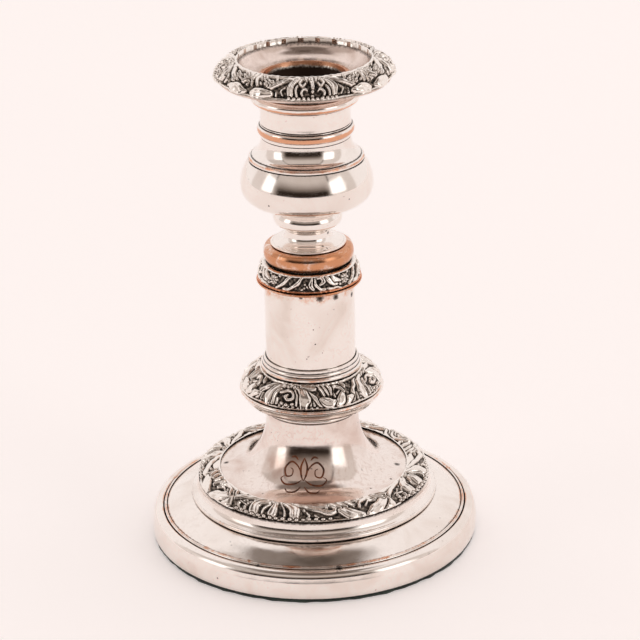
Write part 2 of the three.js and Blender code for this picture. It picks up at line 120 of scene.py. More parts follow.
def per_mm(size: float) -> float:
    """The texture scale whose features are about this many millimetres across, on coordinates in metres."""
    return 1 / (size * MM)


def add_node(tree: bpy.types.NodeTree, kind: str, inputs: dict | tuple = (), out: int | str = 0,
             **settings: object) -> Socket | None:
    """Adds one node with its settings, values and links.

    Args:
        tree: The node tree.
        kind: The node's type.
        inputs: Values or sockets, by the input's name or number, or else in the inputs' order.
        out: The output that is wanted, by name or number.
        **settings: Properties of the node.

    Returns:
        That output, or nothing for a node that ends its tree.
    """
    node = tree.nodes.new(kind)
    for name, value in settings.items():
        setattr(node, name, value)
    for key, value in inputs.items() if isinstance(inputs, dict) else enumerate(inputs):
        if isinstance(value, Socket):
            tree.links.new(value, node.inputs[key])
        else:
            node.inputs[key].default_value = value
    return node.outputs[out] if len(node.outputs) else None


class Weave:
    """A material under construction, with the few patterns that the finishes share."""

    def __init__(self, name: str) -> None:
        """Starts an empty material.

        Args:
            name: The material's name.
        """
        self.material = bpy.data.materials.new(name)
        self.material.use_nodes = True
        self.material.node_tree.nodes.clear()
        self.add = partial(add_node, self.material.node_tree)
        self.place = self.add("ShaderNodeTexCoord", out="Object")

    def shifted(self, value: Socket, pattern: Socket, amount: float) -> Socket:
        """A value moved up and down by a pattern, with an amount between its extremes.

        Args:
            value: The value.
            pattern: The pattern, from 0 to 1.
            amount: How far apart the extremes are.

        Returns:
            The moved value.
        """
        centred = self.add(MATH, (pattern, 0.5), operation="SUBTRACT")
        scaled = self.add(MATH, (centred, amount), operation="MULTIPLY")
        return self.add(MATH, (value, scaled), operation="ADD")

    def layered(self, ground: str, *layers: tuple[Socket, str]) -> Socket:
        """A ground colour with layers of other colours over it.

        Args:
            ground: The hex colour underneath.
            *layers: The share and the hex colour of each layer, from the lowest up.

        Returns:
            The colour on top.
        """
        colour: object = linear(ground)
        for share, tone in layers:
            colour = self.add(MIX, {"Factor": share, 6: colour, 7: linear(tone)}, 2, data_type="RGBA")
        return colour

    def stain(self, place: tuple[float, float, float], reach: float, grain: Socket) -> Socket:
        """A ragged mark of tarnish at a place, with both in millimetres.

        Args:
            place: Where its middle is.
            reach: How far it spreads.
            grain: The pattern that frays its edge.

        Returns:
            The strength of the mark.
        """
        centre = tuple(c * MM for c in place)
        far = self.add(VECTOR_MATH, (self.place, centre), "Value", operation="DISTANCE")
        near = self.add(RAMP, (far, 0.0, reach * MM, 1.0, 0.0), **SMOOTH)
        mark = self.add(RAMP, (self.shifted(near, grain, 0.9), 0.3, 0.75), **SMOOTH)
        return self.add(MATH, (mark, near), operation="MULTIPLY")

    def close(self, **sockets: object) -> bpy.types.Material:
        """Ends the material in one Principled shader.

        Args:
            **sockets: Inputs of the shader, with _ for a space.

        Returns:
            The material.
        """
        named = {name.replace("_", " "): value for name, value in sockets.items()}
        self.add("ShaderNodeOutputMaterial", {"Surface": self.add("ShaderNodeBsdfPrincipled", named)})
        return self.material


@dataclass(frozen=True)
class OldPlate:
    """Old Sheffield plate: silver fused on copper, rolled, raised and burnished, then polished for years.

    It reads as a bright, slightly warm mirror with soft dents, wiping marks, brown specks and pink copper
    where the silver has worn through.
    """

    name: str = "old_sheffield_plate"
    silver: str = "f4ece6"
    film: str = "dccdc2"
    copper: str = "dfa583"
    grime_and_shade: str = "2c211b"
    roughness: float = 0.10
    film_share: float = 0.5
    dent: float = 0.05
    wear_bias: float = 0.0
    break_up: float = 0.7
    speck: float = 0.35
    stains: tuple[Spot, ...] = ()

    def build(self) -> bpy.types.Material:
        """Makes the material.

        Returns:
            The finished material.
        """
        w = Weave(self.name)
        cloud = w.add(NOISE, {"Vector": w.place, "Scale": per_mm(17), "Detail": 4, "Distortion": 0.6})
        mottle = w.add(NOISE, {"Vector": w.place, "Scale": per_mm(2.2), "Detail": 4, "Distortion": 1.5})
        patch = w.add(NOISE, {"Vector": w.place, "Scale": per_mm(6.5), "Detail": 2, "Distortion": 1.0})
        grain = w.add(NOISE, {"Vector": w.place, "Scale": per_mm(0.8), "Detail": 3})
        fleck = w.add(NOISE, {"Vector": w.place, "Scale": per_mm(1.5), "Detail": 2})
        # The film is in clouds, with a finer mottle in it.
        film = w.add(RAMP, (cloud, 0.42, 0.72), **SMOOTH)
        film = w.add(MATH, (film, self.film_share), operation="MULTIPLY")
        mottle = w.add(RAMP, (mottle, 0.46, 0.72, 0.0, 0.4 * self.film_share), **SMOOTH)
        film = w.add(MATH, (film, mottle), operation="MAXIMUM")
        # Copper shows where a ring is worn, with a broken edge.
        wear = w.add(ATTRIBUTE, out="Fac", attribute_name="wear")
        edge = w.shifted(w.add(MATH, (wear, self.wear_bias), operation="ADD"), patch, self.break_up)
        copper = w.add(RAMP, (w.shifted(edge, grain, 0.5 * self.break_up), 0.36, 0.66), **SMOOTH)
        # Grime lies in specks and stains, and the dark rings are tarnish in some places and painted shade in
        # others.
        dirt_and_shade = w.shifted(w.add(ATTRIBUTE, out="Fac", attribute_name="tarnish_and_shade"), grain, 0.5)
        speck = w.add(RAMP, (fleck, 0.70, 0.78, 0.0, self.speck), **SMOOTH)
        dirt_and_shade = w.add(MATH, (w.add(RAMP, (dirt_and_shade, 0.25, 0.75), **SMOOTH), speck), operation="MAXIMUM")
        for x, y, z, reach in self.stains:
            dirt_and_shade = w.add(MATH, (dirt_and_shade, w.stain((x, y, z), reach, grain)), operation="MAXIMUM")
        # Wiping leaves smears round the stick, and grime, painted shade and bare copper are duller than
        # silver.
        smeared = w.add("ShaderNodeMapping", {"Vector": w.place, "Scale": (1, 1, 3)})
        smear = w.add(NOISE, {"Vector": smeared, "Scale": per_mm(5), "Detail": 3})
        rough = w.add(RAMP, (smear, 0.35, 0.7, self.roughness * 0.8, self.roughness * 1.5), **SMOOTH)
        dull = w.add(MATH, (dirt_and_shade, w.add(MATH, (copper, 0.4), operation="MULTIPLY")), operation="MAXIMUM")
        rough = w.add(MATH, (rough, w.add(MATH, (dull, 0.25), operation="MULTIPLY")), operation="ADD")
        # Soft dents are under the fine lines of the burnisher.
        dents = w.add(NOISE, {"Vector": w.place, "Scale": per_mm(9), "Detail": 1})
        soft = w.add("ShaderNodeBump", {"Height": dents, "Strength": 1.0, "Distance": self.dent * MM})
        drawn = w.add("ShaderNodeMapping", {"Vector": w.place, "Scale": (0.12, 0.12, 1)})
        lines = w.add(NOISE, {"Vector": drawn, "Scale": per_mm(0.45), "Detail": 2})
        fine = w.add("ShaderNodeBump", {
            "Height": lines, "Strength": 1.0, "Distance": 0.0016 * MM, "Normal": soft,
        })
        colour = w.layered(self.silver, (film, self.film), (copper, self.copper), (dirt_and_shade, self.grime_and_shade))
        return w.close(Base_Color=colour, Metallic=1.0, Roughness=rough, Normal=fine)


@dataclass(frozen=True)
class CastSilver:
    """Die-stamped silver foliage filled with solder: polished crests over near-black recesses, darkened by
    oxide and by painted shade.
    """

    name: str = "oxidised_and_shaded_cast_silver"
    silver: str = "f3ebe4"
    shade: str = "8d8177"
    black: str = "17110d"
    copper: str = "d08a66"
    roughness: float = 0.15

    def build(self) -> bpy.types.Material:
        """Makes the material.

        Returns:
            The finished material.
        """
        w = Weave(self.name)
        grain, patch, pits = (w.add(NOISE, {"Vector": w.place, "Scale": per_mm(size), "Detail": detail})
                              for size, detail in ((0.7, 3), (5, 2), (0.6, 2)))
        depth = w.shifted(w.add(ATTRIBUTE, out="Fac", attribute_name="tarnish_and_shade"), grain, 0.5)
        worn = w.shifted(w.add(ATTRIBUTE, out="Fac", attribute_name="wear"), patch, 0.9)
        # Sunk parts are painted darker with their depth, from grey-brown to near black: painted shade in the
        # recesses, with oxide.
        shade = w.add(RAMP, (depth, 0.1, 0.6), **SMOOTH)
        copper = w.add(RAMP, (worn, 0.45, 0.75), **SMOOTH)
        black = w.add(RAMP, (depth, 0.5, 0.95), **SMOOTH)
        rough = w.add(RAMP, (depth, 0.1, 0.9, self.roughness, 0.5), **SMOOTH)
        metal = w.add(RAMP, (depth, 0.6, 1.0, 1.0, 0.6), **SMOOTH)
        chased = w.add("ShaderNodeBump", {"Height": pits, "Strength": 1.0, "Distance": 0.03 * MM})
        colour = w.layered(self.silver, (shade, self.shade), (copper, self.copper), (black, self.black))
        return w.close(Base_Color=colour, Metallic=metal, Roughness=rough, Normal=chased)


@dataclass(frozen=True)
class PlainStuff:
    """A finish of one substance with two tones and a grain: brass strip, deal board, resin or wool baize."""

    name: str
    light: str
    dark: str
    size: float
    metallic: float
    roughness: float
    depth: float
    stretch: tuple = (1.0, 1.0, 1.0)
    sheen: float = 0.0

    def build(self) -> bpy.types.Material:
        """Makes the material.

        Returns:
            The finished material.
        """
        w = Weave(self.name)
        place = w.add("ShaderNodeMapping", {"Vector": w.place, "Scale": self.stretch})
        broad = w.add(NOISE, {
            "Vector": place, "Scale": per_mm(self.size * 8), "Detail": 3, "Distortion": 0.4,
        })
        grain = w.add(NOISE, {"Vector": place, "Scale": per_mm(self.size), "Detail": 3})
        broad_part = w.add(MATH, (broad, 0.6), operation="MULTIPLY")
        fine_part = w.add(MATH, (grain, 0.4), operation="MULTIPLY")
        tone = w.add(RAMP, (w.add(MATH, (broad_part, fine_part), operation="ADD"), 0.36, 0.64), **SMOOTH)
        low, high = self.roughness * 0.85, min(1.0, self.roughness * 1.15)
        rough = w.add(RAMP, (grain, 0.3, 0.7, low, high), **SMOOTH)
        bump = w.add("ShaderNodeBump", {"Height": grain, "Strength": 1.0, "Distance": self.depth * MM})
        return w.close(Base_Color=w.layered(self.dark, (tone, self.light)), Metallic=self.metallic,
                       Roughness=rough, Sheen_Weight=self.sheen, Normal=bump)


class Finishes:
    """Every finish of the stick, made once."""

    def __init__(self) -> None:
        """Makes the materials."""
        self.plate = OldPlate().build()
        # The base has been handled most, so it is duller, with more dents and pits.
        self.base_plate = OldPlate(
            "old_plate_of_the_base", roughness=0.13, film_share=0.55, dent=0.09, speck=0.5, stains=(
                (46, -22, 14, 1.1), (-30, -40, 14, 0.8), (8, -54.3, 11.2, 2.6), (-20, -51, 11.2, 1.6),
                (12, -58.5, 7, 0.7), (-34, -47.6, 5, 0.9),
            )).build()
        # The trumpet and its well are browned and pitted where hot wax and water have stood.
        self.well_plate = OldPlate(
            "old_plate_of_the_well", silver="efe4dd", film="c2a191", film_share=0.75, roughness=0.11,
            dent=0.07, speck=0.7, stains=(
                (27.5, -14.5, 25.2, 1.0), (24, -9.5, 26.4, 0.7), (-25, -8, 26.2, 0.8), (30, -3, 24.9, 2.4),
                (-31.5, 2, 24.9, 2.0), (20, -22, 25.2, 0.8), (6, -29, 25.0, 0.9), (-18, -24, 25.0, 0.9),
            )).build()
        # The column is stained under the collar, with a few specks below it.
        self.shaft_plate = OldPlate(
            "old_plate_of_the_column", film_share=0.7, stains=(
                (3.5, -15.4, 95.6, 3.0), (9, -13, 95, 2.6), (-3, -15.6, 96.2, 1.8), (1, -15.9, 84, 0.5),
                (1.6, -15.8, 78.5, 0.6), (-1.5, -15.8, 73, 0.5), (4, -15.3, 75, 0.4), (14.5, -6, 93, 2.2),
            )).build()
        self.bowl_plate = OldPlate(
            "old_plate_of_the_socket", film_share=0.45, dent=0.06, stains=(
                (-13, -18.6, 131, 0.75), (14, -18, 132.6, 0.7), (12.2, -19.2, 134, 0.6),
                (6.4, -5.5, 117, 1.6), (7, -4.2, 115.4, 1.3), (9, -21, 129.5, 0.5), (-5, -22.3, 130.4, 0.35),
            )).build()
        # The dish takes hot wax, so its silver is thin and mauve with copper under it.
        self.dish_plate = OldPlate("waxed_dish_plate", silver="ecdcd3", film="bda497", film_share=0.85,
                                   roughness=0.17, dent=0.05, speck=0.5).build()
        # A drawn wire or bead whose silver has worn away almost all round.
        self.worn_wire = OldPlate("worn_copper_wire", silver="efe0d6", film="dcb7a0", copper="cf926c",
                                  roughness=0.1, wear_bias=0.62, break_up=0.75, dent=0.04).build()
        # The draws rub in their bores, so they are drawn lengthwise and faintly brassy.
        self.draw_plate = OldPlate("rubbed_draw_plate", silver="ebe2d8", film="d2bfa6", roughness=0.2,
                                   film_share=0.6, dent=0.02).build()
        # Inside the socket and the column the metal is painted near black, but for the lip: painted shade in
        # the bores, with smoke and old wax in the socket.
        self.lining = OldPlate(
            "smoked_and_shaded_lining", silver="4a4039", film="2a221d", copper="d08a62", grime_and_shade="14100d", roughness=0.42,
            film_share=0.9, speck=0.7).build()
        self.cast = CastSilver().build()
        self.engraving = PlainStuff("engraved_line", "8a4c28", "2e180e", 0.7, 0.3, 0.45, 0.01).build()
        self.brass = PlainStuff("hard_rolled_brass", "c9a869", "8f7440", 0.5, 1.0, 0.33, 0.01,
                                (0.3, 0.3, 2)).build()
        self.baize = PlainStuff("woollen_baize", "2a3a31", "121a16", 0.35, 0.0, 0.96, 0.12, sheen=0.5).build()
        self.board = PlainStuff("deal_board", "a98a60", "7f6140", 0.9, 0.0, 0.75, 0.05, (0.12, 1, 1)).build()
        self.pitch = PlainStuff("pitch_and_resin", "241c18", "120d0b", 3.0, 0.0, 0.45, 0.15).build()


# ---------------------------------------------------------------- outlines


@dataclass(frozen=True)
class Span:
    """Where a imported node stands, in millimetres."""

    foot: float
    top: float
    reach: float

    @classmethod
    def of(cls, node: str) -> "Span":
        """Measures a node.

        Args:
            node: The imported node's name.

        Returns:
            Its lowest and highest level and its largest radius.
        """
        low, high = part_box(node)
        reach = max(high.x, high.y, -low.x, -low.y)
        return cls(low.z / MM, high.z / MM, reach / MM)

    @property
    def height(self) -> float:
        """Height in millimetres."""
        return self.top - self.foot


def sweep(start: Point, end: Point, via: Point, steps: int = 10) -> list[Point]:
    """Points on a curve between two places that leans towards a third.

    Args:
        start: The first place.
        end: The last place.
        via: The place that it leans towards.
        steps: Pieces in the curve.

    Returns:
        The points, ends included.
    """
    (r0, z0), (r1, z1), (rc, zc) = start, end, via
    points = []
    for i in range(steps + 1):
        t = i / steps
        a, b, c = (1 - t) ** 2, 2 * t * (1 - t), t * t
        points.append((a * r0 + b * rc + c * r1, a * z0 + b * zc + c * z1))
    return points


def rounded(corners: list[tuple], steps: int = 5) -> list[Point]:
    """Rounds the corners of an outline.

    Args:
        corners: (radius, height) points, with a third value where a corner is rounded by that much.
        steps: Pieces in each rounded corner.

    Returns:
        The outline's points.
    """
    points: list[Point] = []
    for i, corner in enumerate(corners):
        here = np.array(corner[:2], float)
        if len(corner) < 3:
            points.append((float(here[0]), float(here[1])))
            continue
        sides = []
        for other in (corners[i - 1], corners[(i + 1) % len(corners)]):
            way = np.array(other[:2], float) - here
            length = float(np.hypot(*way))
            sides.append(here + way * (min(corner[2], 0.48 * length) / max(length, 1e-6)))
        points += sweep(tuple(sides[0]), tuple(sides[1]), tuple(here), steps)
    return points


def bead_outline(seat: float, outer: float, foot: float, top: float, steps: int = 14) -> list[Point]:
    """A half-round wire against a seat, as an outline.

    Args:
        seat: Radius of the seat.
        outer: Radius of the crown.
        foot: Lowest level.
        top: Highest level.
        steps: Pieces in the crown.

    Returns:
        The outline's points.
    """
    half, middle = (top - foot) / 2, (top + foot) / 2
    flank = max(seat, outer - half)
    turn = [math.pi * (i / steps - 0.5) for i in range(steps + 1)]
    crown = [(flank + (outer - flank) * math.cos(a), middle + half * math.sin(a)) for a in turn]
    return [(seat, foot), *crown, (seat, top)]


# ---------------------------------------------------------------- geometry trees


def new_tree(name: str, inputs: list[tuple[str, str]]) -> tuple[bpy.types.NodeTree, partial, object]:
    """Starts a Geometry Nodes tree with named inputs.

    Args:
        name: The tree's name.
        inputs: (name, socket type) of each input between the geometry and the crease angle and finish.

    Returns:
        The tree, the function that adds a node to it, and the sockets of its inputs by name.
    """
    tree = bpy.data.node_groups.new(name, "GeometryNodeTree")
    tree.interface.new_socket("Geometry", in_out="INPUT", socket_type="NodeSocketGeometry")
    for label, kind in inputs + [("Crease", "NodeSocketFloat"), ("Finish", "NodeSocketMaterial")]:
        tree.interface.new_socket(label, in_out="INPUT", socket_type=kind)
    tree.interface.new_socket("Geometry", in_out="OUTPUT", socket_type="NodeSocketGeometry")
    return tree, partial(add_node, tree), tree.nodes.new("NodeGroupInput").outputs


def end_tree(add: partial, given: object, mesh: Socket) -> None:
    """Ends a tree: realized, merged, shaded smooth up to the crease angle, and with its material.

    Args:
        add: What adds a node to the tree.
        given: The sockets of the tree's inputs.
        mesh: The mesh that the tree has made.
    """
    real = add("GeometryNodeRealizeInstances", (mesh,))
    joined = add("GeometryNodeMergeByDistance", {"Geometry": real, "Distance": MERGED})
    smooth = add("GeometryNodeSetShadeSmooth", {"Geometry": joined, "Shade Smooth": True})
    angle = add("GeometryNodeInputMeshEdgeAngle", out="Unsigned Angle")
    sharp = add("FunctionNodeCompare", (angle, given["Crease"]), data_type="FLOAT", operation="GREATER_THAN")
    creased = add("GeometryNodeSetShadeSmooth", {
        "Geometry": smooth, "Selection": sharp, "Shade Smooth": False,
    }, domain="EDGE")
    dressed = add("GeometryNodeSetMaterial", {"Geometry": creased, "Material": given["Finish"]})
    add("NodeGroupOutput", (dressed,))


def turning_tree() -> bpy.types.NodeTree:
    """A tree that swings an outline of edges round Z, as a piece is spun over its chuck.

    Returns:
        The tree, with inputs for the sides and the swing radius besides.
    """
    tree, add, given = new_tree("turn_outline", [("Sides", "NodeSocketInt"), ("Swing", "NodeSocketFloat")])
    outline = add("GeometryNodeMeshToCurve", (given["Geometry"],))
    path = add("GeometryNodeCurvePrimitiveCircle", {"Resolution": given["Sides"], "Radius": given["Swing"]})
    end_tree(add, given, add("GeometryNodeCurveToMesh", {"Curve": path, "Profile Curve": outline}))
    return tree


def sector_tree() -> bpy.types.NodeTree:
    """A tree that repeats one sector of a ring round Z.

    Returns:
        The tree, with an input for the number of copies besides.
    """
    tree, add, given = new_tree("repeat_sector", [("Copies", "NodeSocketInt")])
    seats = add("GeometryNodePoints", {"Count": given["Copies"]})
    share = add(MATH, (add("GeometryNodeInputIndex"), given["Copies"]), operation="DIVIDE")
    turn = add(MATH, (share, 2 * math.pi), operation="MULTIPLY")
    end_tree(add, given, add("GeometryNodeInstanceOnPoints", {
        "Points": seats, "Instance": given["Geometry"], "Rotation": add("ShaderNodeCombineXYZ", {"Z": turn}),
    }))
    return tree


def fibre_tree() -> bpy.types.NodeTree:
    """A tree that sets short wool fibres along an edge, each with its own length and lean.

    Returns:
        The tree, with inputs for the number, length, thickness, lean and seed besides.
    """
    tree, add, given = new_tree("edge_fibres", [
        ("Number", "NodeSocketInt"), ("Length", "NodeSocketFloat"), ("Thickness", "NodeSocketFloat"),
        ("Lean", "NodeSocketFloat"), ("Seed", "NodeSocketInt"),
    ])
    edge = add("GeometryNodeMeshToCurve", (given["Geometry"],))
    seats = add("GeometryNodeResampleCurve", {"Curve": edge, "Count": given["Number"]})
    flat = add(VECTOR_MATH, (add("GeometryNodeInputPosition"), (1, 1, 0)), operation="MULTIPLY")
    lean = add("FunctionNodeRandomValue", {
        0: (-1, -1, -0.35), 1: (1, 1, 0.4), "Seed": given["Seed"],
    }, data_type="FLOAT_VECTOR")
    lean = add(VECTOR_MATH, {0: lean, "Scale": given["Lean"]}, operation="SCALE")
    out = add(VECTOR_MATH, (flat,), operation="NORMALIZE")
    way = add(VECTOR_MATH, (out, lean), operation="ADD")
    aim = add("FunctionNodeAlignRotationToVector", {"Vector": way}, axis="Z")
    long = add("FunctionNodeRandomValue", {2: 0.35, 3: 1.0, "Seed": given["Seed"]}, 1, data_type="FLOAT")
    size = add("ShaderNodeCombineXYZ", (1.0, 1.0, long))
    fibre = add("GeometryNodeMeshCone", {
        "Vertices": 4, "Radius Top": 0.0, "Radius Bottom": given["Thickness"], "Depth": given["Length"],
    }, "Mesh")
    end_tree(add, given, add("GeometryNodeInstanceOnPoints", {
        "Points": seats, "Instance": fibre, "Rotation": aim, "Scale": size,
    }))
    return tree


class Workshop:
    """The tools that make a piece's mesh: the lathe, the repeater and the bench where it is finished."""

    longest = 2.0  # the longest step along a turned outline, so that rings can be painted on it

    def __init__(self) -> None:
        """Builds the trees once."""
        self.turning = turning_tree()
        self.sectors = sector_tree()
        self.fibres = fibre_tree()

    @staticmethod
    def raw(name: str, points: np.ndarray, edges: list, faces: list) -> bpy.types.Object:
        """An object from points in millimetres, linked to the scene.

        Args:
            name: Its name.
            points: Its points.
            edges: Its loose edges.
            faces: Its faces.

        Returns:
            The object.
        """
        mesh = bpy.data.meshes.new(name)
        mesh.from_pydata((points * MM).tolist(), edges, faces)
        piece = bpy.data.objects.new(name, mesh)
        bpy.context.scene.collection.objects.link(piece)
        return piece

    @staticmethod
    def run(piece: bpy.types.Object, tree: bpy.types.NodeTree, values: dict) -> bpy.types.Object:
        """Runs a tree on a piece and keeps the plain mesh that comes out.

        Args:
            piece: The object that holds the tree's input.
            tree: The Geometry Nodes tree.
            values: The tree's inputs by name.

        Returns:
            The same object with the finished mesh and no modifier.
        """
        modifier = piece.modifiers.new(tree.name, "NODES")
        modifier.node_group = tree
        for item in tree.interface.items_tree:
            if item.in_out == "INPUT" and item.name in values:
                modifier[item.identifier] = values[item.name]
        shown = piece.evaluated_get(bpy.context.evaluated_depsgraph_get())
        mesh = bpy.data.meshes.new_from_object(shown)
        piece.modifiers.clear()
        blank, piece.data = piece.data, mesh
        bpy.data.meshes.remove(blank)
        mesh.name = piece.name
        if signed_volume(mesh) < 0:
            mesh.flip_normals()
        return piece

    def turn(self, name: str, outline: list[Point], finish: bpy.types.Material, sides: int = 144,
             crease: float = 38.0, worn: tuple[Spot, ...] = (),
             dark: tuple[Spot, ...] = ()) -> bpy.types.Object:
        """Turns an outline into a piece.

        Args:
            name: The piece's name.
            outline: (radius, height) points. One that starts and ends on the axis is left open there.
            finish: Its material.
            sides: Facets round the axis.
            crease: Edges sharper than this many degrees stay sharp.
            worn: (radius, height, reach, strength) of rings where copper shows.
            dark: The same for rings of tarnish and of painted shade.

        Returns:
            The piece.
        """
        points = []
        for i, here in enumerate(outline):
            before = outline[i - 1]
            gap = math.dist(here, before)
            if gap < 1e-4:
                continue
            if max(here[0], before[0]) > 1e-6 and i > 0:
                steps = math.ceil(gap / self.longest)
                points += [tuple(before[k] + (here[k] - before[k]) * j / steps for k in (0, 1))
                           for j in range(1, steps)]
            points.append(here)
        flat = np.array(points)
        r, z = flat[:, 0], flat[:, 1]
        if np.sum(r * np.roll(-z, -1) - np.roll(r, -1) * -z) < 0:
            flat = flat[::-1]
        on_axis = flat[:, 0] < 1e-6
        if on_axis.any():
            while not (on_axis[0] and on_axis[-1]):
                flat, on_axis = np.roll(flat, 1, 0), np.roll(on_axis, 1)
        count = len(flat)
        edges = [(i, i + 1) for i in range(count - 1)]
        if not on_axis.any():
            edges.append((count - 1, 0))
        place = np.stack([flat[:, 0] - SWING_RADIUS, -flat[:, 1], np.zeros(count)], 1)
        piece = self.raw(name, place, edges, [])
        self.run(piece, self.turning, {
            "Sides": sides, "Swing": SWING_RADIUS * MM, "Crease": math.radians(crease), "Finish": finish,
        })
        paint_rings(piece.data, "wear", worn)
        paint_rings(piece.data, "tarnish_and_shade", dark)
        return piece

    def repeat(self, piece: bpy.types.Object, copies: int, finish: bpy.types.Material,
               crease: float = 50.0) -> bpy.types.Object:
        """Repeats a sector round the axis."""
        return self.run(piece, self.sectors, {
            "Copies": copies, "Crease": math.radians(crease), "Finish": finish,
        })

    @staticmethod
    def hand_over(piece: bpy.types.Object, body: Body, slot: Slot, *nodes: str) -> bpy.types.Object:
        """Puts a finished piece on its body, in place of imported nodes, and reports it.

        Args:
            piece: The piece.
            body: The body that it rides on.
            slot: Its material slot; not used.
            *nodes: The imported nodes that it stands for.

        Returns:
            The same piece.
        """
        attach(piece, body.value)
        if nodes:
            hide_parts(*nodes)
        logger.info("%s: %d faces, on %s", piece.name, len(piece.data.polygons), body.value)
        return piece


def coordinates(mesh: bpy.types.Mesh) -> np.ndarray:
    """A mesh's points, in millimetres.

    Args:
        mesh: The mesh.

    Returns:
        An array with a row for each point.
    """
    place = np.empty(len(mesh.vertices) * 3, np.float32)
    mesh.vertices.foreach_get("co", place)
    return place.reshape(-1, 3).astype(float) / MM


def signed_volume(mesh: bpy.types.Mesh) -> float:
    """Volume inside a closed mesh, negative if its faces point inwards.

    Args:
        mesh: The mesh.

    Returns:
        The volume in cubic millimetres.
    """
    mesh.calc_loop_triangles()
    corner = np.empty(len(mesh.loop_triangles) * 3, np.int32)
    mesh.loop_triangles.foreach_get("vertices", corner)
    a, b, c = (coordinates(mesh)[corner.reshape(-1, 3)[:, i]] for i in range(3))
    return float(np.einsum("ij,ij->i", a, np.cross(b, c)).sum() / 6)


def set_values(mesh: bpy.types.Mesh, name: str, values: np.ndarray) -> None:
    """Keeps a value on each of a mesh's points."""
    attribute = mesh.attributes.get(name) or mesh.attributes.new(name, "FLOAT", "POINT")
    attribute.data.foreach_set("value", np.clip(values, 0, 1).astype(np.float32))


def paint_rings(mesh: bpy.types.Mesh, name: str, rings: tuple[Spot, ...]) -> None:
    """Keeps on each point how near it is to rings round the axis.

    Args:
        mesh: The mesh.
        name: The value's name.
        rings: (radius, height, reach, strength) of each ring.
    """
    place = coordinates(mesh)
    radius = np.hypot(place[:, 0], place[:, 1])
    total = np.zeros(len(place))
    for ring_radius, level, reach, strength in rings:
        near = ((radius - ring_radius) ** 2 + (place[:, 2] - level) ** 2) / reach ** 2
        total = np.maximum(total, strength * np.exp(-near))
    set_values(mesh, name, total)


# ---------------------------------------------------------------- cast borders


def spline(points: np.ndarray, spacing: float) -> tuple[np.ndarray, np.ndarray]:
    """A smooth line through points.

    Args:
        points: Places that the line passes through.
        spacing: The longest step between the line's own points.

    Returns:
        The line's points, and how far along the given points each one is.
    """
    ends = np.vstack([2 * points[0] - points[1], points, 2 * points[-1] - points[-2]])
    line, along = [], []
    for i in range(len(points) - 1):
        a, b, c, d = ends[i:i + 4]
        steps = max(2, int(math.dist(b, c) / spacing) + 1)
        t = np.linspace(0, 1, steps, endpoint=i == len(points) - 2)[:, None]
        line.append(0.5 * (2 * b + (c - a) * t + (2 * a - 5 * b + 4 * c - d) * t ** 2
                           + (3 * b - a - 3 * c + d) * t ** 3))
        along.append(i + t[:, 0])
    return np.vstack(line), np.concatenate(along)


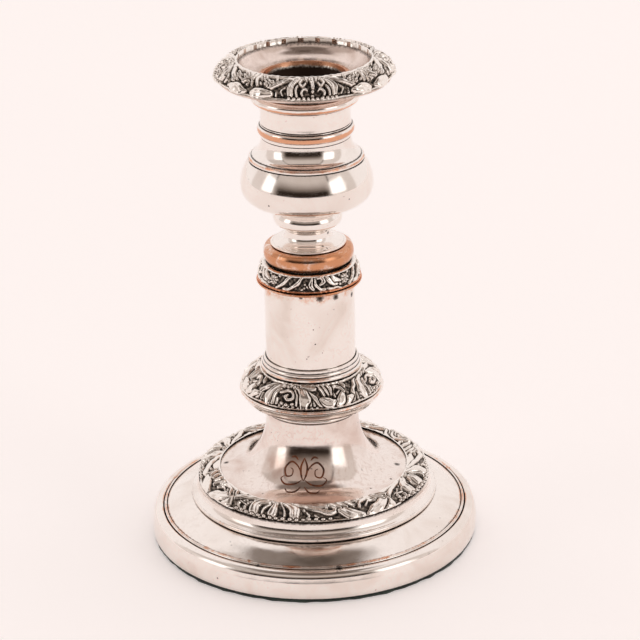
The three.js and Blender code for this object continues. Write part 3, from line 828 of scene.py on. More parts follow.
class Relief:
    """The chased surface of one sector of a border, as heights from the border's full surface.

    A place is (degrees from the middle of the sector, share of the width from the outer edge inwards).
    """

    def __init__(self, radius: float, width: float, pitch: float, depth: float) -> None:
        """Starts with bare ground.

        Args:
            radius: Middle radius of the border.
            width: Width across the slant.
            pitch: Distance between grid points.
            depth: Depth of the ground.
        """
        self.length = 2 * math.pi * radius / SECTORS
        self.width = width
        self.depth = depth
        self.pitch = pitch
        columns = round(self.length / pitch)
        self.x = (np.arange(columns) / columns - 0.5) * self.length
        self.y = np.linspace(0, width, round(width / pitch) + 1)
        turns = 2 * math.pi / self.length
        wave = np.sin(self.x[None, :] * turns * 19) * np.sin(self.y[:, None] * 2.9)
        self.height = np.full((len(self.y), columns), -depth) + 0.09 * depth * wave
        x, y = self.x[None, :] * turns, self.y[:, None]
        # Strokes are never quite straight, nor the ground quite flat.
        self.bend_x = 0.16 * np.sin(5 * x + 0.9 * y)
        self.bend_y = 0.14 * np.sin(7 * x - 0.7 * y + 2)
        self.uneven = 0.09 * depth * np.sin(11 * x + 0.9 * y) * np.sin(1.0 * y - 5 * x)

    def _reach(self, points: list[Point], widths: object) -> tuple[np.ndarray, np.ndarray]:
        """How near each grid point is to a line, as a share of its width there and as a gap.

        Args:
            points: Places along the line.
            widths: Half widths along it, in millimetres.

        Returns:
            The share and the gap at each grid point.
        """
        degrees = 360 / SECTORS
        spine = np.array([(a / degrees * self.length, v * self.width) for a, v in points], float)
        line, along = spline(spine, 1.2 * self.pitch)
        given = np.atleast_1d(np.array(widths, float))
        width = np.interp(along / (len(points) - 1) * max(1, len(given) - 1), range(len(given)), given)
        share = np.full(self.height.shape, 1e3)
        gap = np.full(self.height.shape, 1e3)
        for (px, py), w in zip(line, width):
            dx = (self.x - px + self.length / 2) % self.length - self.length / 2
            rows = np.abs(self.y - py) < w + 1.0
            cols = np.abs(dx) < w + 1.0
            box = np.ix_(rows, cols)
            far = np.hypot(self.y[rows, None] - py + self.bend_y[box], dx[None, cols] + self.bend_x[box])
            share[box] = np.minimum(share[box], far / w)
            gap[box] = np.minimum(gap[box], far - w)
        return share, gap

    def ridge(self, points: list[Point], widths: object, level: float = 0.0, crown: float = 0.5,
              moat: float = 0.28) -> None:
        """Raises a stroke, with a dark gap round it.

        Args:
            points: The stroke's middle line.
            widths: Half widths along it, in millimetres.
            level: Height of its crest.
            crown: Roundness: 0.5 is a half round, and less is flatter.
            moat: Width of the gap that parts it from what is already there.
        """
        share, gap = self._reach(points, widths)
        ring = (gap >= 0) & (gap < moat)
        self.height[ring] = np.minimum(self.height[ring], -0.9 * self.depth)
        inside = share < 1
        rise = (self.depth + level) * (1 - share[inside] ** 2) ** crown
        self.height[inside] = np.maximum(self.height[inside] - 0.45 * self.depth, -self.depth + rise)

    def groove(self, points: list[Point], widths: object, depth: float) -> None:
        """Cuts a round groove along a line.

        Args:
            points: Places along the line.
            widths: Half widths along it.
            depth: Its depth.
        """
        share, _ = self._reach(points, widths)
        inside = share < 1
        self.height[inside] -= depth * (1 - share[inside] ** 2)

    def leaf(self, points: list[Point], widths: object, level: float = 0.0, hollow: float = 0.45) -> None:
        """Raises a petal with a bright rim round a sunk middle.

        Args:
            points: Places along its middle.
            widths: Half widths along it.
            level: Height of its rim.
            hollow: How deep the middle is, as a share of the ground's depth.
        """
        self.ridge(points, widths, level, 0.35)
        inner = [0.45 * w for w in np.atleast_1d(widths)]
        self.groove(points, inner, hollow * self.depth)

    def buds(self, places: list[Point], size: float, level: float = 0.0) -> None:
        """Raises a row of small round buds."""
        for a, v in places:
            self.ridge([(a, v), (a, v + 0.01)], size, level, 0.5, 0.16)

    def rosette(self, a: float, v: float, size: float, petals: int = 7) -> None:
        """Raises a small flower: a ring of petals with a dotted eye.

        Args:
            a: Degrees from the middle of the sector.
            v: Share of the width.
            size: How far the petals reach.
            petals: How many there are.
        """
        step = 360 / SECTORS / self.length
        for i in range(petals):
            turn = 2 * math.pi * i / petals
            da, dv = math.cos(turn) * size * step, math.sin(turn) * size / self.width
            petal = [(a + 0.5 * da, v + 0.5 * dv), (a + da, v + dv)]
            self.ridge(petal, (0.22 * size, 0.36 * size), -0.05, 0.5, 0.12)
        self.buds([(a, v)], 0.3 * size)

    def band(self, share: float, half: float, level: float = 0.0) -> None:
        """Raises a plain band all round, over whatever is there, at a share of the width.

        Args:
            share: Where its middle is.
            half: Its half width.
            level: Height of its crest.
        """
        near = np.abs(self.y - share * self.width) / half
        inside = near < 1
        rise = (self.depth + level) * np.sqrt(1 - near[inside] ** 2) - self.depth
        self.height[inside] = np.maximum(self.height[inside], rise[:, None])

    def blurred(self, reach: float) -> np.ndarray:
        """The heights averaged over a reach in millimetres.

        Args:
            reach: How far from a point its neighbours count.

        Returns:
            The averaged heights.
        """
        steps = max(1, round(reach / self.pitch))
        field = np.zeros_like(self.height)
        padded = np.pad(self.height, ((steps, steps), (0, 0)), mode="edge")
        for dy in range(2 * steps + 1):
            for dx in range(-steps, steps + 1):
                field += np.roll(padded[dy:dy + len(self.y)], dx, 1)
        return field / (2 * steps + 1) ** 2

    def soften(self) -> None:
        """Takes the saw-edged steps off, as casting and polishing do."""
        h = self.height + self.uneven
        side = (np.roll(h, 1, 1) + np.roll(h, -1, 1)) / 2
        up = np.pad(h, ((1, 1), (0, 0)), mode="edge")
        self.height = 0.5 * h + 0.25 * side + 0.125 * (up[:-2] + up[2:])


@dataclass
class CastBorder:
    """A cast ring of foliage: a curved section, a chased motif on its face and a plain underside."""

    node: str
    section: tuple[Point, Point, Point, Point]  # curve of the face, from the outer edge to the inner one
    under: list[Point]  # the plain underside, from the inner edge back to the outer one
    turn: float  # degrees from the front towards +X to the middle of a motif
    pitch: float
    depth: float
    motif: Callable[[Relief], None]
    crests: tuple[tuple[float, float], ...] = ((0.0, 90.0),)  # where the edge stands out: degrees, half width
    scallop: float = 0.0  # how far the edge is drawn in between its crests
    edge_wear: float = 0.0  # how much copper shows along the outer edge

    def profile(self) -> tuple[np.ndarray, np.ndarray]:
        """The curve of the face, and how far along it each of its points is.

        Returns:
            The points, and the distance to each from the outer edge.
        """
        a, b, c, d = np.array(self.section, float)
        t = np.linspace(0, 1, 200)[:, None]
        line = (1 - t) ** 3 * a + 3 * t * (1 - t) ** 2 * b + 3 * t * t * (1 - t) * c + t ** 3 * d
        return line, np.concatenate([[0], np.cumsum(np.hypot(*np.diff(line, axis=0).T))])

    def face(self, share: np.ndarray) -> tuple[np.ndarray, np.ndarray]:
        """Points and outward normals of the face at shares of its length.

        Args:
            share: The shares, from the outer edge.

        Returns:
            The points and the normals.
        """
        line, along = self.profile()
        place = np.stack([np.interp(share * along[-1], along, line[:, i]) for i in range(2)], 1)
        way = np.gradient(place, axis=0)
        way /= np.hypot(way[:, 0], way[:, 1])[:, None]
        return place, np.stack([way[:, 1], -way[:, 0]], 1)

    def swell(self, columns: int) -> np.ndarray:
        """How far the outer edge stands out at each column, from 0 to 1.

        Args:
            columns: Columns in a sector.

        Returns:
            A value for each column, and for the one after the last.
        """
        degrees = 360 / SECTORS
        a = (np.arange(columns + 1) / columns - 0.5) * degrees
        out = np.zeros(columns + 1)
        for crest, half in self.crests:
            gap = (a - crest + degrees / 2) % degrees - degrees / 2
            out = np.maximum(out, np.exp(-(gap / half) ** 4))
        return out

    def build(self, shop: Workshop, finish: bpy.types.Material, body: Body) -> bpy.types.Object:
        """Makes the border.

        Args:
            shop: The workshop.
            finish: Its material.
            body: The body that it rides on.

        Returns:
            The piece.
        """
        middle = (self.section[0][0] + self.section[3][0]) / 2
        slant = float(self.profile()[1][-1])
        relief = Relief(middle, slant, self.pitch, self.depth)
        self.motif(relief)
        relief.soften()
        rows, columns = relief.height.shape
        share = np.linspace(0, 1, rows)
        place, normal = self.face(share)
        # Oxide and painted shade darken what lies below its surroundings, and most of all the ground.
        dent = (relief.blurred(0.7) - relief.height) / self.depth
        tarnish_and_shade = 1.25 * dent + 0.85 * (-relief.height / self.depth) - 0.2
        near = 0.42 + np.clip(1.2 - share * 12, 0, 1)[:, None]
        wear = self.edge_wear * near * np.ones(columns)
        high = np.concatenate([relief.height, relief.height[:, :1]], 1)
        angle = np.radians(self.turn + (np.arange(columns + 1) / columns - 0.5) * 360 / SECTORS)
        drawn = self.scallop * np.outer((1 - share) ** 1.6, 1 - self.swell(columns))
        radius = place[:, :1] + normal[:, :1] * high - drawn
        level = place[:, 1:] + normal[:, 1:] * high
        for i, (r, z) in enumerate(self.under):
            near_edge = ((i + 1) / len(self.under)) ** 2
            radius = np.vstack([radius, r - drawn[0] * near_edge])
            level = np.vstack([level, np.full(columns + 1, z)])
        total = len(radius)
        points = np.stack([radius * np.sin(angle), -radius * np.cos(angle), level], -1).reshape(-1, 3)
        row, column = np.meshgrid(np.arange(total), np.arange(columns), indexing="ij")
        here, above = row * (columns + 1) + column, (row + 1) % total * (columns + 1) + column
        faces = np.stack([here, here + 1, above + 1, above], -1).reshape(-1, 4)
        piece = shop.raw(self.node + "_chased", points, [], faces.tolist())
        for name, field in (("tarnish_and_shade", tarnish_and_shade), ("wear", wear)):
            wrapped = np.concatenate([field, field[:, :1]], 1)
            # The plain underside is painted a middling dark: painted shade and tarnish under the border.
            plain = np.zeros((total - rows, columns + 1)) + (0.45 if name == "tarnish_and_shade" else 0)
            set_values(piece.data, name, np.vstack([wrapped, plain]).ravel())
        shop.repeat(piece, SECTORS, finish, 75)
        return shop.hand_over(piece, body, Slot.CAST, self.node)


def base_motif(r: Relief) -> None:
    """The palmette, scroll and oak-leaf pattern round the well of the base.

    Args:
        r: The relief to chase it on.
    """
    r.ridge([(15, 0.97), (21, 0.88), (27, 0.82)], (0.9, 1.7, 1.1), -0.3, 0.35)
    r.ridge([(-40, 0.95), (-30, 0.93), (-22, 0.95)], (0.8, 1.1, 0.8), -0.3, 0.35)
    for a in (-15.5, -19.5):
        r.ridge([(a, 0.1), (a - 1.2, 0.38), (a + 1.8, 0.62)], (0.5, 0.5, 0.3), -0.25)
    r.ridge([(-16.5, 0.36), (-21.5, 0.5)], (0.4, 0.25), -0.35)
    for a, top in ((13, 0.6), (17.5, 0.42), (21.5, 0.27)):
        r.ridge([(a, 0.1), (a + 1, 0.6 * top), (a - 0.5, top)], (0.5, 0.55, 0.3), -0.25)
    r.buds([(11.5, 0.7), (15.3, 0.52), (-13.5, 0.72)], 0.5, -0.25)
    r.ridge([(-28, 0.40), (-23, 0.66), (-15, 0.86), (-5, 0.94)], (1.3, 1.1, 0.8, 0.5), -0.05)
    r.ridge([(6, 0.95), (12, 0.86), (18, 0.69), (24, 0.5), (28.5, 0.36), (32, 0.45), (31.8, 0.66),
             (29, 0.78)],
            (0.6, 1.05, 1.1, 1.2, 1.3, 1.1, 0.95, 0.6))
    r.groove([(9, 0.91), (18, 0.69), (27, 0.4)], 0.25, 0.3)
    r.buds([(27.6, 0.62)], 0.6)
    for side, lean in ((-1, 0.0), (1, 0.6)):
        r.ridge([(side * 6.0, 0.12), (side * 5.2, 0.48), (side * 3.0, 0.74)], (0.45, 0.5, 0.35), -0.15)
        r.leaf([(side * (9.4 + lean), 0.03), (side * (11.4 - lean), 0.32), (side * (10.6 - lean), 0.62),
                (side * (5.2 - lean), 0.88)], (1.2, 2.0, 1.8, 0.9), 0.0, 0.35)
    r.leaf([(-1.0, 0.70), (-0.6, 0.26)], (1.15, 1.7), 0.0, 0.3)
    r.buds([(-3.6, 0.93), (2.4, 0.93)], 0.75)
    r.buds([(-0.7, 0.87)], 0.85)
    r.leaf([(-34.0, 0.90), (-31.2, 0.56), (-28.6, 0.16)], (1.5, 3.1, 2.4), 0.0, 0.12)
    r.groove([(-33.4, 0.86), (-30.8, 0.5), (-29.6, 0.16)], 0.35, 0.35)
    r.groove([(-35.5, 0.7), (-33.0, 0.42)], 0.3, 0.25)
    r.leaf([(45.0, 0.04), (40.2, 0.18), (35.2, 0.46)], (1.3, 2.6, 1.6), 0.0, 0.15)
    r.leaf([(48.7, 0.04), (54.0, 0.2), (59.4, 0.46)], (1.3, 2.7, 1.9), 0.0, 0.15)
    r.groove([(45.5, 0.12), (40.2, 0.26), (36.4, 0.46)], 0.3, 0.3)
    r.groove([(48.7, 0.12), (53.6, 0.28), (58.4, 0.46)], 0.3, 0.3)
    r.ridge([(45.2, 0.46), (46.4, 0.69), (51.2, 0.86), (57, 0.75), (60.4, 0.5)], (0.6, 0.75, 0.8, 0.75, 0.5))
    r.ridge([(49.0, 0.48), (51.2, 0.63), (54.8, 0.55)], (0.6, 0.6, 0.35), -0.1)
    for foot, tip in ((30.4, 34.8), (35.0, 38.4), (39.6, 42.2)):
        r.ridge([(foot, 0.95), (foot + 1.6, 0.76), (tip, 0.56)], (0.55, 0.85, 0.5))
    r.ridge([(43.2, 0.96), (45.2, 0.88), (45.0, 0.76)], (0.6, 0.65, 0.35))
    r.ridge([(55.5, 0.96), (60.5, 0.87), (63.5, 0.64)], (0.5, 0.8, 0.5))
    r.band(0.0, 0.5, -0.25)
    r.buds([(-21 + 3.3 * tooth, 0.08) for tooth in range(16)], 0.85, -0.05)
    r.band(0.985, 0.6, -0.1)


def nozzle_motif(r: Relief) -> None:
    """The dense palmette and flower clusters on the nozzle.

    Args:
        r: The relief to chase it on.
    """
    for side in (-1, 1):
        r.ridge([(side * 5, 0.95), (side * 14, 0.86), (side * 22, 0.64), (side * 30, 0.32)],
                (0.7, 0.95, 0.9, 1.1), -0.05)
        r.groove([(side * 8, 0.92), (side * 15, 0.84), (side * 27, 0.46)], 0.25, 0.3)
        r.ridge([(side * 19.5, 0.12), (side * 20.5, 0.32), (side * 18, 0.5)], (0.35, 0.4, 0.25), -0.4)
        r.ridge([(side * 24.5, 0.1), (side * 24.0, 0.28)], (0.4, 0.25), -0.35)
        r.leaf([(side * 14.0, 0.06), (side * 15.0, 0.4), (side * 11.5, 0.72), (side * 5.0, 0.86)],
               (0.8, 1.25, 1.05, 0.5), 0.0, 0.3)
        r.ridge([(side * 10.4, 0.12), (side * 11.0, 0.34), (side * 9.0, 0.55)], (0.45, 0.6, 0.4), -0.1)
        r.ridge([(side * 7.2, 0.78), (side * 8.6, 0.62), (side * 6.2, 0.5), (side * 4.6, 0.62)],
                (0.45, 0.55, 0.5, 0.35))
        r.ridge([(side * 6.6, 0.1), (side * 7.2, 0.26), (side * 5.0, 0.4), (side * 3.2, 0.32)],
                (0.45, 0.6, 0.55, 0.35))
        r.ridge([(side * 2.6, 0.92), (side * 3.4, 0.76)], (0.45, 0.5), -0.05)
        r.leaf([(side * 29.5, 0.16), (side * 35.0, 0.17), (side * 40.5, 0.10)], (1.6, 2.5, 1.6), 0.0, 0.1)
        r.groove([(side * 31.0, 0.24), (side * 35.5, 0.22), (side * 40.0, 0.12)], 0.3, 0.3)
        r.rosette(side * 30.5, 0.57, 1.45)
        r.rosette(side * 36.8, 0.78, 1.2)
        r.buds([(side * 26.2, 0.76), (side * 37.0, 0.5), (side * 27.0, 0.9)], 0.62)
        r.ridge([(side * 38.6, 0.42), (side * 41.6, 0.66), (side * 41.0, 0.92)], (0.55, 0.85, 0.5))
        r.ridge([(side * 42.6, 0.36), (side * 44.4, 0.6)], (0.35, 0.5))
    r.leaf([(0, 0.42), (0.5, 0.64), (0, 0.84)], (0.6, 0.95, 0.6), 0.0, 0.35)
    r.buds([(0.0, 0.28), (0.0, 0.14)], 0.62)
    r.ridge([(45, 0.58), (45, 0.93)], (0.5, 0.9))
    r.buds([(a, 0.06) for a in range(-15, 16, 3)], 0.65, 0.0)
    r.band(0.0, 0.5, -0.15)
    r.buds([(-3.0, 0.87), (3.0, 0.87), (-36.0, 0.86), (38.0, 0.86)], 0.9, 0.12)
    r.buds([(0.0, 0.84)], 1.1, 0.2)
    r.band(0.985, 0.8, -0.05)


def knop_motif(r: Relief) -> None:
    """The scrolled shell and leaves on the knop.

    Args:
        r: The relief to chase it on.
    """
    r.buds([(a, 0.09) for a in range(-29, 0, 4)], 0.6, -0.1)
    r.buds([(a, 0.09) for a in range(3, 32, 4)], 0.6, -0.1)
    for a, top in ((-25, 0.36), (-21.5, 0.52), (25, 0.32), (22.0, 0.52)):
        r.ridge([(a, 0.14), (a + (1 if a < 0 else -1), top)], (0.45, 0.3), -0.3)
    r.ridge([(-31, 0.14), (-26, 0.5), (-18, 0.8), (-7, 0.91)], (1.1, 0.9, 0.8, 0.5), -0.05)
    r.ridge([(8, 0.93), (16, 0.78), (24, 0.5), (31, 0.16)], (0.5, 0.8, 0.9, 1.2), -0.05)
    r.leaf([(-16.5, 0.07), (-17.4, 0.42), (-13.2, 0.74), (-5.5, 0.86)], (1.1, 1.6, 1.2, 0.6), 0.0, 0.25)
    r.leaf([(16.0, 0.07), (16.8, 0.42), (12.6, 0.74), (5.5, 0.85)], (1.4, 2.1, 1.6, 0.6), 0.0, 0.22)
    r.ridge([(-11.5, 0.12), (-11.5, 0.45), (-8.0, 0.7)], (0.6, 0.75, 0.45))
    r.ridge([(-8.0, 0.12), (-7.6, 0.34)], (0.55, 0.55))
    r.ridge([(9.4, 0.14), (9.8, 0.46), (6.8, 0.72)], (0.5, 0.6, 0.4))
    r.ridge([(-6.8, 0.56), (-1.0, 0.68), (5.0, 0.6), (6.2, 0.42), (1.5, 0.33), (-1.6, 0.42), (0.8, 0.5)],
            (0.5, 0.65, 0.72, 0.72, 0.65, 0.55, 0.4))
    r.buds([(-3.0, 0.16), (1.5, 0.14), (6.0, 0.17)], 0.7)
    r.buds([(-1.7, 0.87), (1.6, 0.91), (4.8, 0.85)], 0.7)
    r.ridge([(12.0, 0.91), (19.0, 0.87), (26.0, 0.81)], (0.8, 1.25, 0.7))
    r.leaf([(-42.0, 0.28), (-36.5, 0.2), (-31.5, 0.28)], (1.6, 2.1, 1.1), 0.0, 0.12)
    r.leaf([(32.5, 0.36), (36.5, 0.22), (42.0, 0.2)], (1.2, 2.1, 1.5), 0.0, 0.12)
    r.leaf([(45.5, 0.1), (49.0, 0.26), (51.0, 0.46)], (1.0, 1.7, 1.0), 0.0, 0.12)
    r.groove([(33.5, 0.36), (37.0, 0.27), (42.0, 0.24)], 0.28, 0.3)
    r.ridge([(43.6, 0.42), (42.8, 0.66), (46.5, 0.83), (51.4, 0.72), (53.4, 0.52)],
            (0.5, 0.7, 0.8, 0.65, 0.45))
    r.ridge([(47.0, 0.54), (49.0, 0.62)], (0.55, 0.4), -0.1)
    for a, tip in ((29.5, 34.0), (34.5, 37.8), (39.2, 41.0)):
        r.ridge([(a, 0.93), (a + 2.4, 0.74), (tip, 0.5)], (0.5, 0.8, 0.45))
    r.ridge([(54.5, 0.93), (57.5, 0.74)], (0.5, 0.65))
    r.band(0.0, 0.5, -0.1)
    r.band(0.985, 0.45, -0.15)


def collar_motif(r: Relief) -> None:
    """The rosettes, ribbons and lilies round the top of the column.

    Args:
        r: The relief to chase it on.
    """
    r.rosette(45, 0.56, 1.45, 8)
    r.buds([(38.0, 0.84), (52.0, 0.84), (37.6, 0.3), (52.4, 0.3)], 0.55, -0.1)
    r.ridge([(-40, 0.16), (-34, 0.32), (-28, 0.62), (-23, 0.9)], (0.45, 0.75, 0.8, 0.5))
    r.ridge([(-30, 0.14), (-20, 0.28), (-13, 0.6), (-8, 0.92)], (0.5, 0.8, 0.8, 0.5))
    r.buds([(-6.5, 0.26), (-2.0, 0.34), (-4.6, 0.5), (-9.0, 0.2)], 0.5, -0.1)
    r.ridge([(4.6, 0.2), (1.6, 0.5), (3.4, 0.92)], (0.5, 0.8, 0.45))
    r.ridge([(24.0, 0.17), (12.0, 0.22), (6.8, 0.5), (7.8, 0.88)], (0.5, 0.7, 0.7, 0.5))
    r.ridge([(10.5, 0.86), (15.0, 0.86), (16.8, 0.62), (12.6, 0.46)], (0.6, 0.85, 0.75, 0.45))
    r.leaf([(20.5, 0.92), (25.0, 0.58), (32.5, 0.36)], (0.75, 1.2, 0.7), 0.0, 0.2)
    r.leaf([(28.5, 0.93), (31.0, 0.68), (37.0, 0.5)], (0.6, 1.0, 0.5), 0.0, 0.2)
    r.ridge([(22.0, 0.18), (30.0, 0.17), (38.0, 0.12)], (0.55, 0.5, 0.3))
    r.band(0.0, 0.6, -0.05)
    r.band(0.985, 0.4, -0.15)


# ---------------------------------------------------------------- the stick


@dataclass
class SubAssembly:
    """A part of the stick that rides on one body."""

    shop: Workshop
    finishes: Finishes
    body: Body

    def turned(self, node: str, outline: list, finish: bpy.types.Material, slot: Slot = Slot.SILVER,
               **options: object) -> bpy.types.Object:
        """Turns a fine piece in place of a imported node.

        Args:
            node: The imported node.
            outline: Its outline, with rounded corners where a point has a third value.
            finish: Its material.
            slot: Its material slot.
            **options: What the lathe takes besides.

        Returns:
            The piece.
        """
        piece = self.shop.turn(node + "_fine", rounded(outline), finish, **options)
        return self.shop.hand_over(piece, self.body, slot, node)


@dataclass
class LoadedBase(SubAssembly):
    """The stamped, loaded base with its baize, border, trumpet pedestal and engraved flourish."""

    groove: float = 4.1  # width of the rim's moulding
    wall: float = 40.4  # radius of the wall round the well
    sheet: float = 0.8  # thickness of the stamped plate
    border_width: float = 8.6
    fibres: int = 1500
    ribbon: float = 0.36  # half width of an engraved line

    def build(self) -> None:
        """Makes the base's pieces from the table up."""
        self.lay_baize()
        for node, finish in (("base_board", self.finishes.board), ("pitch_loading", self.finishes.pitch)):
            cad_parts[node].data.materials.clear()
            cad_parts[node].data.materials.append(finish)
            logger.info("%s: packed node, dressed", node)
        self.spin_plates()
        self.cast_border()
        self.raise_pedestal()
        self.engrave()

    def lay_baize(self) -> None:
        """The cloth disc under the base and the fibres along its cut edge."""
        s = Span.of("baize_cover")
        edge = [(0, 0), (s.reach - 0.25, 0.0, 0.15), (s.reach, 0.45, 0.3), (s.reach - 0.1, s.top, 0.3),
                (0, s.top)]
        cloth = self.shop.turn("baize_cloth", rounded(edge), self.finishes.baize, 192)
        place = coordinates(cloth.data)
        angle = np.arctan2(place[:, 1], place[:, 0])
        ragged = 0.22 * np.sin(37 * angle) + 0.15 * np.sin(61 * angle + 1) + 0.2 * np.sin(11 * angle + 2)
        ragged -= 0.3
        # One stretch of the edge is cut rougher than the rest.
        ragged += 0.28 * np.exp(-((angle + 0.75) / 0.5) ** 2) * (1 + np.sin(53 * angle)) / 2
        near = np.clip((np.hypot(place[:, 0], place[:, 1]) / s.reach - 0.97) / 0.03, 0, 1)
        scale = 1 + ragged * near / s.reach
        place[:, :2] *= scale[:, None]
        cloth.data.vertices.foreach_set("co", (place * MM).ravel())
        self.shop.hand_over(cloth, self.body, Slot.BAIZE, "baize_cover")
        count, level = 96, 0.75
        turn = np.linspace(0, 2 * math.pi, count, endpoint=False)
        ring = np.stack([np.cos(turn), np.sin(turn), np.zeros(count)], 1) * (s.reach - 0.4)
        ring[:, 2] = level
        fringe = self.shop.raw("baize_fibres", ring, [(i, (i + 1) % count) for i in range(count)], [])
        self.shop.run(fringe, self.shop.fibres, {
            "Number": self.fibres, "Length": 0.95 * MM, "Thickness": 0.13 * MM, "Lean": 0.8, "Seed": 7,
            "Crease": math.radians(60), "Finish": self.finishes.baize,
        })
        self.shop.hand_over(fringe, self.body, Slot.BAIZE)

    def spin_plates(self) -> None:
        """The rim, the reed in the groove, the flange plate and the step."""
        f = self.finishes
        s = Span.of("base_rim")
        r, g = s.reach, s.reach - self.groove
        self.turned("base_rim", [
            (r - 0.55, s.foot, 0.25), (r, s.foot + 1.2, 1.0), (r - 0.1, s.foot + 5.4, 2.0),
            *sweep((r - 0.6, s.top - 2.6), (g + 0.7, s.top), (r - 0.9, s.top - 0.1), 14),
            (g + 0.1, s.top - 0.1, 0.3), (g, s.top - 0.8, 0.2), (r - 2.3, s.top - 1.6, 1.0),
            (r - 1.0, s.foot + 5.2, 1.0), (r - 1.4, s.foot, 0.2),
        ], f.base_plate, sides=192, worn=((g + 0.3, s.top, 0.5, 0.5), (r - 0.3, s.foot + 0.3, 0.7, 0.3)),
            dark=((g + 0.1, s.top - 0.5, 0.35, 0.9), (r - 0.4, s.foot, 0.5, 0.5)))
        s = Span.of("base_reed")
        self.turned("base_reed", bead_outline(s.reach - 0.9, s.reach, s.foot, s.foot + 0.9, 8)[:-1] + [
            (s.reach - 0.25, s.top - 0.25, 0.2), (s.reach - 0.6, s.top, 0.2), (s.reach - 0.9, s.foot + 1.0),
        ], f.base_plate, Slot.COPPER, sides=192, worn=((s.reach - 0.4, s.top, 0.8, 0.5),),
            dark=((s.reach, s.top - 0.3, 0.3, 0.8),))
        s = Span.of("base_plate")
        step = Span.of("base_step")
        top = step.foot - JOINT
        outer, edge, wall, sheet = s.reach, step.reach - 1, self.wall, self.sheet
        low = Span.of("base_reed").foot + 0.3
        well = Span.of("pedestal").reach - 1.2
        self.turned("base_plate", [
            *sweep((outer, low + 0.5), (edge, top - 0.05), ((outer + edge) / 2, top - 0.8), 14),
            (wall, top), (wall, top + 6.2, 0.4), (wall - 1.8, s.top), (well, s.top), (well, s.top - sheet),
            (wall - 2.2, s.top - sheet), (wall - sheet, top + 5.8, 0.5), (wall - sheet, top - sheet, 0.4),
            (edge, top - 0.9), (outer, low - 0.4, 0.2),
        ], f.base_plate, sides=192, crease=45,
            worn=((outer, low + 0.5, 0.9, 0.55), (edge, top, 2.2, 0.28)),
            dark=((outer, low + 0.3, 0.3, 0.9), (edge + 0.8, top, 0.7, 0.55)))
        s, inner = step, step.reach - 3.5
        self.turned("base_step", [
            (inner, s.foot), (s.reach, s.foot, 0.15), (s.reach, s.foot + 1.0, 0.4),
            *sweep((s.reach - 0.55, s.foot + 1.35), (inner + 0.8, s.foot + 4.4),
                   (inner + 1.0, s.foot + 1.7), 12),
            (inner + 0.8, s.top), (inner, s.top),
        ], f.base_plate, sides=192, worn=((s.reach, s.foot + 0.8, 0.7, 0.35),),
            dark=((s.reach - 0.4, s.foot + 1.2, 0.3, 0.45), (inner + 0.8, s.top, 0.9, 0.8)))

    def cast_border(self) -> None:
        """The foliate border round the well."""
        s = Span.of("base_border")
        crest, foot, out, inn = s.top, s.foot + 0.25, s.reach, s.reach - self.border_width
        CastBorder(
            "base_border",
            ((out, foot + 0.1), (out - 0.2, foot + 2.3), (out - 5.0, crest + 1.0), (inn, crest - 0.7)),
            [(inn + 0.4, crest - 1.5), (inn + 3.2, s.foot + 2.6), (out - 2.6, foot - 0.2),
             (out - 1.4, foot - 0.3)],
            -21, 0.22, 1.35, base_motif, ((0, 16), (-29, 8), (45, 13)), 0.7,
        ).build(self.shop, self.finishes.cast, self.body)

    def slope(self) -> list[Point]:
        """The trumpet's outer line, from its neck down to the well floor.

        Returns:
            The line's points.
        """
        s = Span.of("pedestal")
        neck, rim, floor = Span.of("column_tube").reach + 0.7, s.reach - 1.8, s.foot + 0.6
        middle = (neck + 0.347 * (rim - neck), floor + 4.4)
        upper = sweep((neck, s.top - 2.8), middle, (neck, floor + 11.5), 16)
        lower = sweep(middle, (rim, floor), (neck + 0.55 * (rim - neck), floor + 0.2), 16)
        return [(neck, s.top), *upper, *lower[1:]]

    def raise_pedestal(self) -> None:
        """The trumpet and the well floor, raised from one sheet."""
        s = Span.of("pedestal")
        face = self.slope()
        inside = [(r - 0.55 if z > s.foot + 1.4 else r - 1.2, max(z - 0.45, s.foot + 0.05))
                  for r, z in reversed(face[1:-3])]
        bore = face[0][0] - 0.5
        self.turned("pedestal", [
            *face, (s.reach, s.foot + 0.6), (s.reach, s.foot), *inside, (bore, s.top),
        ], self.finishes.well_plate, sides=192, crease=50,
            worn=((face[0][0], s.top, 1.5, 0.3), (26, s.foot + 5, 5.0, 0.22)),
            dark=((s.reach - 1.2, s.foot + 0.6, 1.3, 0.8),))

    def engrave(self) -> None:
        """A generic ornament on the front of the trumpet: mirrored scrolls round a leaf."""
        half = [
            [(0.6, 0.54), (3.5, 0.38), (7.5, 0.32), (10.5, 0.43), (9, 0.56), (6.2, 0.54), (6, 0.45),
             (7.6, 0.42)],
            [(0.6, 0.60), (4.0, 0.68), (8.5, 0.70), (11.3, 0.62), (9.8, 0.56)],
            [(0.0, 0.24), (1.7, 0.38), (1.3, 0.52), (0.0, 0.62)],
            [(0.8, 0.72), (3.0, 0.82), (6.0, 0.84), (7.6, 0.78)],
            [(3.6, 0.28), (5.6, 0.23), (8.2, 0.25)],
        ]
        strokes = half + [[(-turn, height) for turn, height in stroke] for stroke in half]
        lean, spread = -9.5, 1.85  # degrees from the front to the middle, and for each unit of width
        tall = 12  # units of width in the flourish's height
        foot, share_of_slope = 0.21, 0.67  # where it stands on the slope, as shares of the slope's length
        unit_wide, unit_tall = 0.71, 1.8  # millimetres in a unit, round and up the trumpet
        up_the_slope = 0.55  # units of height for each millimetre of a line's width
        face = np.array(self.slope())
        along = np.concatenate([[0], np.cumsum(np.hypot(*np.diff(face, axis=0).T))])
        points, faces = [], []
        for stroke in strokes:
            line, _ = spline(np.array(stroke, float) * (1, tall), 0.25)
            count = len(line)
            way = np.gradient(line, axis=0)
            for i, ((turn, height), (da, dh)) in enumerate(zip(line, way)):
                reach = np.hypot(da * unit_wide, dh * unit_tall) + 1e-9
                wide = self.ribbon * (0.25 + 0.75 * math.sin(math.pi * i / (count - 1)) ** 0.7)
                side = np.array([-dh * unit_tall, da * unit_wide]) / reach * wide
